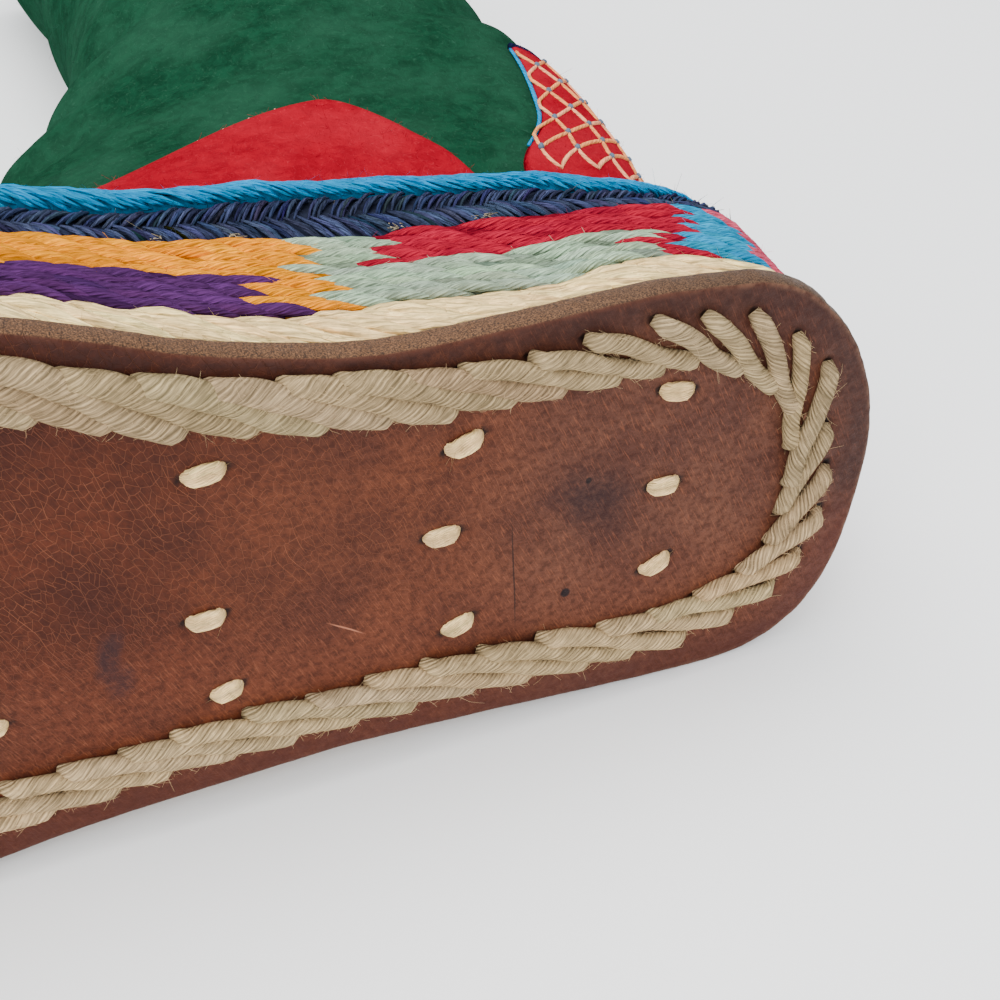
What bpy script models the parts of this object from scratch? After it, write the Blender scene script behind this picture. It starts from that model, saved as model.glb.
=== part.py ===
"""Felt boot lying on its side: corded leather outsole, yarn-built side band, hollow felt upper with shaft.

The boot is modelled upright in its own frame: +X runs from the back of the heel to the toe, +Y to the
inner side of the foot, +Z from the tread up to the collar. A parent empty then lays it on its outer side.
"""
from collections import namedtuple
from math import atan2, cos, pi, radians, sin

import bmesh
import bpy
import numpy as np
from mathutils import Matrix, Vector

MM = 0.001
NEAR = 0.3 * MM                 # gap between pieces that touch

# Sole
SOLE_LENGTH = 265 * MM
OUTSOLE_THICKNESS = 4.2 * MM
EDGE_ROUND = 0.6 * MM
TOE_SPRING = 10 * MM
SPRING_START = 185 * MM
HEEL_CAP = 27 * MM              # length of the rounded heel end
TOE_CAP = 75 * MM               # length of the rounded toe end
HEEL_SQUARENESS = {"inner": 2.0, "outer": 3.1}
TOE_SQUARENESS = 2.0
INSOLE_THICKNESS = 3 * MM

# Corded border on the tread
BORDER_INSET = 8.6 * MM         # from the sole's edge to the middle of the cord band
BORDER_SKEW = 1.4 * MM          # taken from the inset along the inner side, added along the outer one
BORDER_HEEL = 1.8 * MM          # added to the inset round the heel
BORDER_HALF_WIDTH = 3.2 * MM
BORDER_HEIGHT = 2.4 * MM
BORDER_CHANNEL = 0.4 * MM       # depth of the groove that the cords lie in
CHANNEL_HALF_WIDTH = 4.7 * MM

# Side band, from the outsole up: cream cords, woven rows, navy braid, turquoise whipped edge
BASE_TOP = 12.6 * MM
WOVEN_TOP = 30.4 * MM
BRAID_TOP = 38.0 * MM
PIPING_TOP = 43.0 * MM
BAND_THICKNESS = 5.0 * MM
BASE_ROWS, BASE_BULGE = 2, 1.0 * MM
WOVEN_ROWS, WOVEN_BULGE = 6, 0.7 * MM
BRAID_ROWS, BRAID_BULGE = 2, 1.2 * MM
PIPING_SIDES = 7
SIDE_LEDGE = 1.5 * MM           # how far the outsole stands out past the band along the sides
HEEL_LEDGE = 2.5 * MM           # added to the ledge round the heel
HEEL_REACH = 52 * MM            # where the heel's extra ledge has faded out

# Felt
FELT = 3.0 * MM
FELT_GAP = 0.5 * MM             # between the side band and the felt inside it
APPLIQUE = 1.2 * MM
APPLIQUE_GAP = 0.8 * MM
SHAFT_HEIGHT = 300 * MM

COLUMNS = 56                    # points round every horizontal section
INNER, OUTER = 1, -1            # sides of the boot

# Felt overlays on the upper
OVERLAY_LOW = PIPING_TOP + 0.8 * MM
OVERLAY_LIP = 1.5 * MM          # height of the panels' pointed ends
PANEL_FOOT = (44 * MM, 130 * MM)
PANEL_APEX = 63 * MM
PANEL_RISE = 37.5 * MM
PANEL_SLOPE = 1.45              # straightness of its edge towards the toe
COUNTER_FOOT = 37 * MM          # front edge of the counter at its foot and at its head
COUNTER_HEAD = 22 * MM
COUNTER_TOP = 98 * MM
STRIP_COLUMNS = 1.15            # half width of the back strip, in columns
STRIP_TOP = SHAFT_HEIGHT - 1.5 * MM

Station = namedtuple("Station", "from_heel inner outer")
OUTLINE = (                     # half widths of the outsole, mm
    Station(0, 34.0, 33.8),
    Station(20, 36.4, 35.2),
    Station(38, 37.0, 35.6),
    Station(58, 35.4, 35.4),
    Station(78, 34.0, 35.6),
    Station(98, 36.6, 37.4),
    Station(122, 43.6, 40.4),
    Station(145, 48.6, 45.2),
    Station(168, 50.0, 48.4),
    Station(195, 48.6, 48.0),
    Station(230, 44.0, 44.0),
    Station(265, 40.0, 40.0),
)

Lean = namedtuple("Lean", "from_heel inward")
BAND_LEAN = (                   # how far the band leans in from its foot to its top, mm
    Lean(0, 0.6),
    Lean(20, 1.4),
    Lean(45, 2.8),
    Lean(66, 0.4),
    Lean(85, -1.8),
    Lean(105, -0.8),
    Lean(130, 1.8),
    Lean(265, 2.0),
)

Ridge = namedtuple("Ridge", "height back front")
PROFILE = (                     # side view of the upper above the band, mm from the heel
    Ridge(43, 10.8, 252),
    Ridge(50, 10.2, 232),
    Ridge(57, 9.2, 206),
    Ridge(63, 8.5, 181),
    Ridge(70, 8.1, 160),
    Ridge(78, 8.0, 146),
    Ridge(88, 8.1, 132),
    Ridge(100, 8.5, 120),
    Ridge(112, 9.0, 111),
    Ridge(124, 9.5, 103),
    Ridge(137, 9.8, 96),
    Ridge(155, 9.9, 91),
    Ridge(180, 9.4, 89),
    Ridge(215, 7.5, 90),
    Ridge(255, 4.5, 94),
    Ridge(300, 1.0, 100),
)

Section = namedtuple("Section", "height inner outer widest taper roundness heel")
SECTIONS = (                    # plan of the upper: half widths and widest station, mm, then its powers
    Section(43, 29.0, 29.0, 80.0, 1.60, 0.90, 8.0),
    Section(57, 29.5, 29.5, 80.0, 1.65, 0.92, 8.0),
    Section(66, 29.0, 29.5, 72.0, 1.65, 0.90, 8.0),
    Section(80, 28.5, 29.5, 60.0, 1.70, 0.84, 8.0),
    Section(100, 29.0, 30.5, 52.0, 1.80, 0.80, 6.0),
    Section(118, 30.5, 32.0, 50.0, 1.90, 0.68, 4.5),
    Section(137, 32.5, 34.0, 49.0, 2.00, 0.56, 3.0),
    Section(160, 35.0, 35.4, 49.0, 2.00, 0.50, 2.2),
    Section(220, 41.0, 37.0, 49.0, 2.00, 0.50, 2.0),
    Section(300, 47.0, 37.4, 50.5, 2.00, 0.50, 2.0),
)
BAND_BLEND = 16 * MM            # height over which the upper leaves the band's outline

# Heights of the upper's sections: inside the band, over the foot and up the shaft, mm
UPPER_HEIGHTS = (4.5, 24, 43, 47, 51.5, 57, 63, 70, 78, 88, 100, 112, 124, 137, 155, 180, 215, 255, 300)

Finish = namedtuple("Finish", "colour roughness")
FINISHES = {
    "leather": Finish((0.180, 0.060, 0.030), 0.55),
    "hemp_cord": Finish((0.520, 0.430, 0.290), 0.90),
    "cream_cord": Finish((0.760, 0.680, 0.520), 0.90),
    "woven_yarn": Finish((0.450, 0.030, 0.050), 0.90),
    "navy_yarn": Finish((0.025, 0.035, 0.090), 0.90),
    "turquoise_yarn": Finish((0.020, 0.300, 0.480), 0.80),
    "green_felt": Finish((0.010, 0.090, 0.040), 0.95),
    "red_felt": Finish((0.500, 0.015, 0.020), 0.95),
    "navy_felt": Finish((0.020, 0.025, 0.080), 0.95),
    "insole_felt": Finish((0.420, 0.370, 0.290), 0.95),
}


def curve_through(places, values):
    """Smooth curve through a table's column that never overshoots its points."""
    x = np.array(places, float)
    y = np.array(values, float)
    step = np.diff(x)
    slope = np.diff(y) / step
    rate = np.zeros_like(y)
    rate[0], rate[-1] = slope[0], slope[-1]
    for i in range(1, len(x) - 1):
        if slope[i - 1] * slope[i] > 0:
            before, after = 2 * step[i] + step[i - 1], step[i] + 2 * step[i - 1]
            rate[i] = (before + after) / (before / slope[i - 1] + after / slope[i])

    def value(at):
        at = min(max(at, x[0]), x[-1])
        i = min(max(int(np.searchsorted(x, at)) - 1, 0), len(step) - 1)
        t = (at - x[i]) / step[i]
        return ((1 + 2 * t) * (1 - t) ** 2 * y[i] + t * t * (3 - 2 * t) * y[i + 1]
                + step[i] * (t * (1 - t) ** 2 * rate[i] - t * t * (1 - t) * rate[i + 1]))

    return value


def columns_of(table, place, plain=()):
    """Curves for each named column of a table in mm, by the column of places; plain ones have no unit."""
    places = [getattr(row, place) * MM for row in table]
    names = [name for name in table[0]._fields if name != place]
    unit = {name: 1 if name in plain else MM for name in names}
    return {name: curve_through(places, [getattr(row, name) * unit[name] for row in table]) for name in names}


outline = columns_of(OUTLINE, "from_heel")
band_lean = columns_of(BAND_LEAN, "from_heel")["inward"]
profile = columns_of(PROFILE, "height")
sections = columns_of(SECTIONS, "height", plain=("taper", "roundness", "heel"))


def fade(t):
    t = min(max(t, 0.0), 1.0)
    return t * t * (3 - 2 * t)


def toe_spring(from_heel):
    return TOE_SPRING * max(0.0, (from_heel - SPRING_START) / (SOLE_LENGTH - SPRING_START)) ** 2


def heelness(from_heel):
    return 1 - fade(from_heel / HEEL_REACH)


def share_along(angle):
    """Share of a section's length from its back, for an angle round it that starts at the back."""
    return (1 - cos(angle)) / 2


def rounded_end(share, squareness):
    return (1 - (1 - share) ** squareness) ** (1 / squareness) if share < 1 else 1.0


def sole_point(angle):
    """Plan point of the outsole's edge."""
    from_heel = SOLE_LENGTH * share_along(angle)
    side = "inner" if sin(angle) >= 0 else "outer"
    half = outline[side](from_heel)
    half *= rounded_end(from_heel / HEEL_CAP, HEEL_SQUARENESS[side])
    half *= rounded_end((SOLE_LENGTH - from_heel) / TOE_CAP, TOE_SQUARENESS)
    return np.array((from_heel, half if side == "inner" else -half))


def inset_point(angle, inset):
    """Plan point that lies inside the outsole's edge by a distance, square to that edge."""
    nudge = 0.02
    ahead, behind = sole_point(angle + nudge), sole_point(angle - nudge)
    along = (ahead - behind) / np.linalg.norm(ahead - behind)
    return sole_point(angle) + inset * np.array((along[1], -along[0]))


def band_inset(from_heel, height):
    """How far the side band's face lies inside the outsole's edge."""
    up = (height - OUTSOLE_THICKNESS) / (PIPING_TOP - OUTSOLE_THICKNESS)
    return SIDE_LEDGE + HEEL_LEDGE * heelness(from_heel) + up * band_lean(from_heel)


def column_angles():
    return [2 * pi * k / COLUMNS for k in range(COLUMNS)]


def sole_loop(inset, height):
    """Closed loop that follows the outsole, inset all round, at a height above the tread."""
    points = []
    for angle in column_angles():
        plan = inset_point(angle, inset)
        points.append((plan[0], plan[1], height + toe_spring(plan[0])))
    return points


def border_loop(across, height):
    """Closed loop in the tread's cord band, which lies nearer the edge along the inner side."""
    points = []
    for angle in column_angles():
        inset = BORDER_INSET - BORDER_SKEW * sin(angle) + BORDER_HEEL * heelness(sole_point(angle)[0])
        plan = inset_point(angle, inset + across)
        points.append((plan[0], plan[1], height + toe_spring(plan[0])))
    return points


def band_loop(depth, height):
    """Closed loop in the side band, at a depth behind its face."""
    points = []
    for angle in column_angles():
        plan = inset_point(angle, band_inset(sole_point(angle)[0], height) + depth)
        points.append((plan[0], plan[1], height + toe_spring(plan[0])))
    return points


def section_point(angle, height):
    """Plan point of the free upper: a rounded heel that tapers to the ridge over the foot or shaft front."""
    back, front = profile["back"](height), profile["front"](height)
    from_heel = back + (front - back) * share_along(angle)
    widest = sections["widest"](height)
    half = sections["inner" if sin(angle) >= 0 else "outer"](height)
    if from_heel < widest:
        reach = (widest - from_heel) / (widest - back)
        half *= (1 - reach ** sections["heel"](height)) ** 0.5
    else:
        reach = (from_heel - widest) / (front - widest)
        half *= max(0.0, 1 - reach ** sections["taper"](height)) ** sections["roundness"](height)
    return np.array((from_heel, half if sin(angle) >= 0 else -half))


def upper_loop(height):
    """Outer loop of the felt upper: inside the band first, then free above it."""
    free = fade((height - PIPING_TOP) / BAND_BLEND)
    points = []
    for angle in column_angles():
        inset = band_inset(sole_point(angle)[0], min(height, PIPING_TOP)) + BAND_THICKNESS + FELT_GAP
        plan = inset_point(angle, inset)
        if free:
            plan = (1 - free) * plan + free * section_point(angle, height)
        points.append((plan[0], plan[1], height + toe_spring(plan[0])))
    return points


def inner_grid(grid, thickness):
    """The loops moved inwards by the wall's thickness, with level rims."""
    along = np.roll(grid, -1, axis=1) - np.roll(grid, 1, axis=1)
    up = np.gradient(grid, axis=0)
    normal = np.cross(along, up)
    normal /= np.linalg.norm(normal, axis=2, keepdims=True)
    inside = grid + thickness * normal
    inside[0, :, 2] = grid[0, :, 2]
    inside[-1, :, 2] = grid[-1, :, 2]
    return inside


def finish_material(name):
    material = bpy.data.materials.get(name)
    if material is None:
        material = bpy.data.materials.new(name)
        material.use_nodes = True
        shader = material.node_tree.nodes["Principled BSDF"]
        shader.inputs["Base Color"].default_value = (*FINISHES[name].colour, 1)
        shader.inputs["Roughness"].default_value = FINISHES[name].roughness
        shader.inputs["Metallic"].default_value = 0.0
    return material


def add_object(name, shape, finish, collection, parent):
    """A named object from a bmesh, facing out, in the boot's collection."""
    bmesh.ops.recalc_face_normals(shape, faces=shape.faces)
    mesh = bpy.data.meshes.new(name)
    shape.to_mesh(mesh)
    shape.free()
    mesh.shade_smooth()
    mesh.set_sharp_from_angle(angle=radians(40))
    mesh.materials.append(finish_material(finish))
    piece = bpy.data.objects.new(name, mesh)
    collection.objects.link(piece)
    piece.parent = parent
    return piece


def bridge(shape, first, second):
    """Faces between two loops with the same number of points."""
    count = len(first)
    for k in range(count):
        after = (k + 1) % count
        shape.faces.new((first[k], first[after], second[after], second[k]))


def ring_shape(loops):
    """Closed ring: each loop is bridged to the next, and the last one to the first."""
    shape = bmesh.new()
    rows = [[shape.verts.new(point) for point in loop] for loop in loops]
    for i, row in enumerate(rows):
        bridge(shape, row, rows[(i + 1) % len(rows)])
    return shape


def close_across(shape, row):
    """Covers a loop with straight rungs across the boot, so that it can bend along its length."""
    half = len(row) // 2
    for k in range(half):
        corners = (row[k], row[k + 1], row[-k - 1], row[-k])
        shape.faces.new(list(dict.fromkeys(corners)))


def plate_shape(loops):
    """Closed plate: loops bridged from its lower face to its upper one."""
    shape = bmesh.new()
    rows = [[shape.verts.new(point) for point in loop] for loop in loops]
    for lower, upper in zip(rows, rows[1:]):
        bridge(shape, lower, upper)
    close_across(shape, rows[0])
    close_across(shape, rows[-1])
    return shape


def ribbed_band(low, high, ribs, bulge):
    """Loops of a band whose face has rounded ribs one above the other."""
    low += NEAR
    step = (high - low) / ribs
    loops = [band_loop(0, low)]
    for i in range(ribs):
        loops.append(band_loop(-bulge, low + (i + 0.5) * step))
        loops.append(band_loop(0, low + (i + 1) * step))
    return ring_shape(loops + [band_loop(BAND_THICKNESS, high), band_loop(BAND_THICKNESS, low)])


def outsole_shape():
    """Leather plate with a shallow groove in its tread under the cord band."""
    return plate_shape([
        border_loop(CHANNEL_HALF_WIDTH, 0),
        border_loop(0, BORDER_CHANNEL),
        border_loop(-CHANNEL_HALF_WIDTH, 0),
        sole_loop(EDGE_ROUND, 0),
        sole_loop(0, EDGE_ROUND),
        sole_loop(0, OUTSOLE_THICKNESS - EDGE_ROUND),
        sole_loop(EDGE_ROUND, OUTSOLE_THICKNESS),
    ])


def insole_shape():
    low = OUTSOLE_THICKNESS + NEAR
    depth = BAND_THICKNESS + FELT_GAP + FELT + 2 * NEAR
    return plate_shape([band_loop(depth, low), band_loop(depth, low + INSOLE_THICKNESS)])


def border_shape():
    """Band of cord stitches on the tread: a low rib, flat where it meets the ground."""
    wide, crown = BORDER_HALF_WIDTH, BORDER_HALF_WIDTH / 2
    near, shoulder, far = -NEAR, -0.6 * BORDER_HEIGHT, -BORDER_HEIGHT
    edges = ((wide, near), (wide, shoulder), (crown, far), (-crown, far), (-wide, shoulder), (-wide, near))
    return ring_shape([border_loop(across, height) for across, height in edges])


def piping_shape():
    """Whipped edge: a round cord on top of the braid, against the felt."""
    radius = (PIPING_TOP - BRAID_TOP - NEAR) / 2
    middle = BRAID_TOP + NEAR + radius
    loops = []
    for i in range(PIPING_SIDES):
        turn = 2 * pi * i / PIPING_SIDES
        depth = BAND_THICKNESS - NEAR - radius + radius * cos(turn)
        loops.append(band_loop(depth, middle + radius * sin(turn)))
    return ring_shape(loops)


def upper_shape(grid):
    """Hollow felt upper: outer wall, collar rim, inner wall and lower rim."""
    return ring_shape([*grid, *inner_grid(grid, FELT)[::-1]])


def row_at(height):
    """Index of the upper's section below a height, and the share of the way to the next one."""
    row = min(max(int(np.searchsorted(UPPER_HEIGHTS, height / MM)) - 1, 0), len(UPPER_HEIGHTS) - 2)
    return row, (height / MM - UPPER_HEIGHTS[row]) / (UPPER_HEIGHTS[row + 1] - UPPER_HEIGHTS[row])


def column_at(grid, from_heel, height):
    """Column of the upper, which may lie between two, that passes a station at a height."""
    row, up = row_at(height)
    stations = (1 - up) * grid[row, :COLUMNS // 2, 0] + up * grid[row + 1, :COLUMNS // 2, 0]
    return np.interp(from_heel, stations, range(COLUMNS // 2))


def on_upper(grid, column, height):
    """Point of the upper's faceted wall; columns count from the back seam, negative on the outer side."""
    row, up = row_at(height)
    first = int(np.floor(column))
    part = column - first
    loop = (1 - up) * grid[row] + up * grid[row + 1]
    return (1 - part) * loop[first % COLUMNS] + part * loop[(first + 1) % COLUMNS]


def applique_shape(grid, edge, alongs, ups, side):
    """Open felt patch laid on the upper, at shares along it and up it.

    The edge gives the patch's foot column, head column and top height for a share along it.
    """
    shape = bmesh.new()
    bmesh.ops.create_grid(shape, x_segments=len(alongs) - 1, y_segments=len(ups) - 1, size=1)
    for vertex in shape.verts:
        along = alongs[round((vertex.co.x + 1) / 2 * (len(alongs) - 1))]
        up = ups[round((vertex.co.y + 1) / 2 * (len(ups) - 1))]
        foot, head, top = edge(grid, along)
        column, height = side * (foot + (head - foot) * up), OVERLAY_LOW + (top - OVERLAY_LOW) * up
        onward = on_upper(grid, column + 0.3, height) - on_upper(grid, column - 0.3, height)
        upward = on_upper(grid, column, height + MM) - on_upper(grid, column, height - MM)
        outward = np.cross(upward, onward)
        vertex.co = on_upper(grid, column, height) + APPLIQUE_GAP * outward / np.linalg.norm(outward)
    return shape


def add_applique(name, shape, finish, collection, parent):
    patch = add_object(name, shape, finish, collection, parent)
    thicken = patch.modifiers.new("felt thickness", "SOLIDIFY")
    thicken.thickness = APPLIQUE
    thicken.offset = 1.0 if faces_outward(patch) else -1.0
    return patch


def faces_outward(patch):
    """Whether an open patch's faces look away from the leg's axis."""
    middle = Vector((sections["widest"](PIPING_TOP), 0, 0))
    votes = 0
    for face in patch.data.polygons:
        away = face.center - middle
        away.z = 0
        votes += 1 if face.normal.dot(away) > 0 else -1
    return votes > 0


def panel_edge(grid, along):
    """Red arch low on the side of the foot: steep towards the heel, slanting towards the toe."""
    foot = PANEL_FOOT[0] + (PANEL_FOOT[1] - PANEL_FOOT[0]) * along
    if along < 0.5:
        head = PANEL_APEX + (PANEL_FOOT[0] - PANEL_APEX) * (1 - 2 * along)
        rise = sin(pi * along)
    else:
        head = PANEL_APEX + (PANEL_FOOT[1] - PANEL_APEX) * (2 * along - 1)
        rise = sin(pi * along) ** PANEL_SLOPE
    top = OVERLAY_LOW + OVERLAY_LIP + PANEL_RISE * rise
    return column_at(grid, foot, OVERLAY_LOW), column_at(grid, head, top), top


def counter_edge(grid, along):
    """Half of the red heel counter, from beside the back strip to its slanting front edge."""
    back = STRIP_COLUMNS + 0.1
    foot, head = column_at(grid, COUNTER_FOOT, OVERLAY_LOW), column_at(grid, COUNTER_HEAD, COUNTER_TOP)
    return back + (foot - back) * along, back + (head - back) * along, COUNTER_TOP


def strip_edge(grid, along):
    """Navy strip up the back seam."""
    column = STRIP_COLUMNS * (2 * along - 1)
    return column, column, STRIP_TOP


def section_shares(low, high):
    """Shares of the way up from one height to another at which the upper has its own sections."""
    between = [height * MM for height in UPPER_HEIGHTS if low + MM < height * MM < high - MM]
    return [(height - low) / (high - low) for height in (low, *between, high)]


def even_shares(steps):
    return [i / steps for i in range(steps + 1)]


def strip_shares():
    """Shares across the strip, with its creases on the upper's columns."""
    return [(column / STRIP_COLUMNS + 1) / 2 for column in (-STRIP_COLUMNS, -1, 0, 1, STRIP_COLUMNS)]


def turns_left(first, second, third):
    a, b = second - first, third - first
    return a[0] * b[1] - a[1] * b[0] > 0


def floor_line():
    """Heel and ball points of the outer edge that share the floor: the longest side of its hull."""
    points = [sole_point(2 * pi - angle) for angle in np.linspace(0.05, pi - 0.05, 240)]
    hull = []
    for point in points:
        while len(hull) > 1 and not turns_left(*hull[-2:], point):
            hull.pop()
        hull.append(point)
    return max(zip(hull, hull[1:]), key=lambda ends: np.linalg.norm(ends[1] - ends[0]))


def lying_rotation(upper_grid):
    """Turns the upright boot onto its outer side, on the sole's edge and the shaft.

    The toe goes to -X, the collar to +Y and the inner side up.
    """
    heel, ball = floor_line()
    along = (ball - heel) / np.linalg.norm(ball - heel)
    inward = np.array((-along[1], along[0]))
    points = upper_grid.reshape(-1, 3)
    points = points[points[:, 2] > PIPING_TOP]
    gaps = (points[:, :2] - heel) @ inward
    lean = min(atan2(gap, rise - OUTSOLE_THICKNESS / 2) for gap, rise in zip(gaps, points[:, 2]))
    level = Matrix.Rotation(-atan2(along[1], along[0]), 4, "Z")
    on_side = Matrix(((-1, 0, 0, 0), (0, 0, 1, 0), (0, 1, 0, 0), (0, 0, 0, 1)))
    return Matrix.Rotation(-lean, 4, "X") @ on_side @ level


def stand_on_floor(frame, pieces):
    """Moves the lying boot so that its box stands centred on the floor."""
    bpy.context.view_layer.update()
    depsgraph = bpy.context.evaluated_depsgraph_get()
    corners = []
    for piece in pieces:
        solid = piece.evaluated_get(depsgraph).to_mesh()
        corners += [piece.matrix_world @ vertex.co for vertex in solid.vertices]
    low = [min(c[i] for c in corners) for i in range(3)]
    high = [max(c[i] for c in corners) for i in range(3)]
    frame.location = (-(low[0] + high[0]) / 2, -(low[1] + high[1]) / 2, -low[2])


def main():
    for leftover in list(bpy.data.objects):
        bpy.data.objects.remove(leftover)
    collection = bpy.data.collections.new("felt_boot")
    bpy.context.scene.collection.children.link(collection)
    frame = bpy.data.objects.new("lying_frame", None)
    collection.objects.link(frame)

    grid = np.array([upper_loop(height * MM) for height in UPPER_HEIGHTS])
    solids = (
        ("outsole", outsole_shape(), "leather"),
        ("border_stitching", border_shape(), "hemp_cord"),
        ("insole", insole_shape(), "insole_felt"),
        ("base_cords", ribbed_band(OUTSOLE_THICKNESS, BASE_TOP, BASE_ROWS, BASE_BULGE), "cream_cord"),
        ("woven_band", ribbed_band(BASE_TOP, WOVEN_TOP, WOVEN_ROWS, WOVEN_BULGE), "woven_yarn"),
        ("seam_braid", ribbed_band(WOVEN_TOP, BRAID_TOP, BRAID_ROWS, BRAID_BULGE), "navy_yarn"),
        ("edge_piping", piping_shape(), "turquoise_yarn"),
        ("upper", upper_shape(grid), "green_felt"),
    )
    panel = (grid, panel_edge, even_shares(12), even_shares(7))
    counter = (grid, counter_edge, even_shares(5), section_shares(OVERLAY_LOW, COUNTER_TOP))
    strip = (grid, strip_edge, strip_shares(), section_shares(OVERLAY_LOW, STRIP_TOP))
    overlays = (
        ("side_panel_inner", applique_shape(*panel, INNER), "red_felt"),
        ("side_panel_outer", applique_shape(*panel, OUTER), "red_felt"),
        ("heel_counter_inner", applique_shape(*counter, INNER), "red_felt"),
        ("heel_counter_outer", applique_shape(*counter, OUTER), "red_felt"),
        ("back_strip", applique_shape(*strip, INNER), "navy_felt"),
    )
    pieces = [add_object(*solid, collection, frame) for solid in solids]
    pieces += [add_applique(*overlay, collection, frame) for overlay in overlays]
    frame.matrix_world = lying_rotation(grid)
    stand_on_floor(frame, pieces)


main()
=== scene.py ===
import bmesh
import bpy
import numpy as np
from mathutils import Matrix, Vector
from mathutils.kdtree import KDTree


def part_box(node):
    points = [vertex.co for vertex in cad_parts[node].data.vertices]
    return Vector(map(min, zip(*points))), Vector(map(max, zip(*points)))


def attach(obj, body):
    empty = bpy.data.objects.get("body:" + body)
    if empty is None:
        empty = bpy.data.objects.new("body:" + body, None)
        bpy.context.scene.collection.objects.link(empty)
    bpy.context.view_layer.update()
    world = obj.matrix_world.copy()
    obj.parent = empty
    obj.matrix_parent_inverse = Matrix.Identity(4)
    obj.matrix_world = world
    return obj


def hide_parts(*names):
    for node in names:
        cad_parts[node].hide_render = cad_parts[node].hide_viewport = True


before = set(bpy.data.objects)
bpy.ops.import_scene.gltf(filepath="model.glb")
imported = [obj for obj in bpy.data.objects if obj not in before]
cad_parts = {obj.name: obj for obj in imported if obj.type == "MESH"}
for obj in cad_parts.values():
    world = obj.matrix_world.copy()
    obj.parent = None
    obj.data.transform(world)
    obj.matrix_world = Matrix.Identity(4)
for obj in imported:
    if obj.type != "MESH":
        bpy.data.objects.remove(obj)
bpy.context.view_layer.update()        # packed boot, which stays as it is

mm = 0.001

# the boot's own frame, in mm: u from heel to toe, w to the inner side, h from tread to collar
lastSizes = {
    "length": 265, "toeSpring": 10, "springStart": 185,
    "heelCap": 27, "toeCap": 75, "heelSquareInner": 2.0, "heelSquareOuter": 3.1, "toeSquare": 2.0,
    "leather": 4.2, "ledge": 1.5, "heelLedge": 2.5, "heelReach": 52,
    "bandTop": 43, "bandThick": 5, "feltGap": 0.5, "bandBlend": 16,
    "yaw": 5.242, "columns": 56,        # how the boot is turned on its side, and the solids' points round it
}
soleTable = (       # from the heel, inner half width, outer half width
    (0, 34.0, 33.8), (20, 36.4, 35.2), (38, 37.0, 35.6), (58, 35.4, 35.4), (78, 34.0, 35.6),
    (98, 36.6, 37.4), (122, 43.6, 40.4), (145, 48.6, 45.2), (168, 50.0, 48.4), (195, 48.6, 48.0),
    (230, 44.0, 44.0), (265, 40.0, 40.0),
)
leanTable = (       # from the heel, how far the side band leans in
    (0, 0.6), (20, 1.4), (45, 2.8), (66, 0.4), (85, -1.8), (105, -0.8), (130, 1.8), (265, 2.0),
)
profileTable = (    # height, back and front of the felt upper
    (43, 10.8, 252), (50, 10.2, 232), (57, 9.2, 206), (63, 8.5, 181), (70, 8.1, 160), (78, 8.0, 146),
    (88, 8.1, 132), (100, 8.5, 120), (112, 9.0, 111), (124, 9.5, 103), (137, 9.8, 96), (155, 9.9, 91),
    (180, 9.4, 89), (215, 7.5, 90), (255, 4.5, 94), (300, 1.0, 100),
)
sectionTable = (    # height, inner half, outer half, widest station, taper, roundness, heel squareness
    (43, 29.0, 29.0, 80.0, 1.60, 0.90, 8.0), (57, 29.5, 29.5, 80.0, 1.65, 0.92, 8.0),
    (66, 29.0, 29.5, 72.0, 1.65, 0.90, 8.0), (80, 28.5, 29.5, 60.0, 1.70, 0.84, 8.0),
    (100, 29.0, 30.5, 52.0, 1.80, 0.80, 6.0), (118, 30.5, 32.0, 50.0, 1.90, 0.68, 4.5),
    (137, 32.5, 34.0, 49.0, 2.00, 0.56, 3.0), (160, 35.0, 35.4, 49.0, 2.00, 0.50, 2.2),
    (220, 41.0, 37.0, 49.0, 2.00, 0.50, 2.0), (300, 47.0, 37.4, 50.5, 2.00, 0.50, 2.0),
)
bandLevels = (4.2, 12.6, 30.4, 38.0, 43.0)      # foot of the band, then the top of each of its parts
sagTable = (        # from the heel, how far each level of the band is pulled up or down
    (0, 0.0, 0.0, 0.0, -1.5, -1.8), (21, 0.0, -0.2, -0.2, -1.7, -2.0), (27, 0.0, 0.2, -0.6, -1.2, -1.6),
    (32, 0.0, 0.5, -0.5, -1.0, -0.7), (37, 0.0, 1.5, -1.2, -0.8, 0.7), (44, 0.0, 0.1, -0.3, 0.9, 1.8),
    (51, 0.0, -2.1, 0.6, 2.6, 2.9), (58, 0.0, -0.9, 0.4, 2.9, 3.4), (66, 0.0, 0.4, 0.2, 4.0, 3.9),
    (76, 0.0, 1.0, -0.2, 4.0, 3.6), (85, 0.0, 0.7, -0.3, 3.2, 3.1), (92, 0.0, -0.2, -0.6, 1.1, 1.7),
    (98, 0.0, -0.3, -1.4, 0.4, 0.6), (103, -0.1, 0.9, -1.9, -1.3, 0.0), (109, -0.4, -0.4, -1.9, -2.6, -0.5),
    (121, -1.5, 0.3, -2.6, -2.8, -1.1), (150, 0.0, 0.3, 0.0, -0.5, 0.0), (265, 0.0, 0.0, 0.0, 0.0, 0.0),
)
tuckTable = (       # from the heel, how far each level of the band is drawn in
    (0, -0.9, -1.5, -2.2, -1.9, 0.5), (10, -1.0, -1.9, -2.8, -2.3, 0.6), (16, -0.5, -1.1, -1.2, -0.4, 1.2),
    (22, 0.0, 0.0, 0.2, 1.2, 1.6), (30, 0.0, 0.0, 0.2, 0.9, 1.2), (42, 0.0, 0.0, 0.0, 0.0, 0.0),
    (265, 0.0, 0.0, 0.0, 0.0, 0.0),
)


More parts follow.
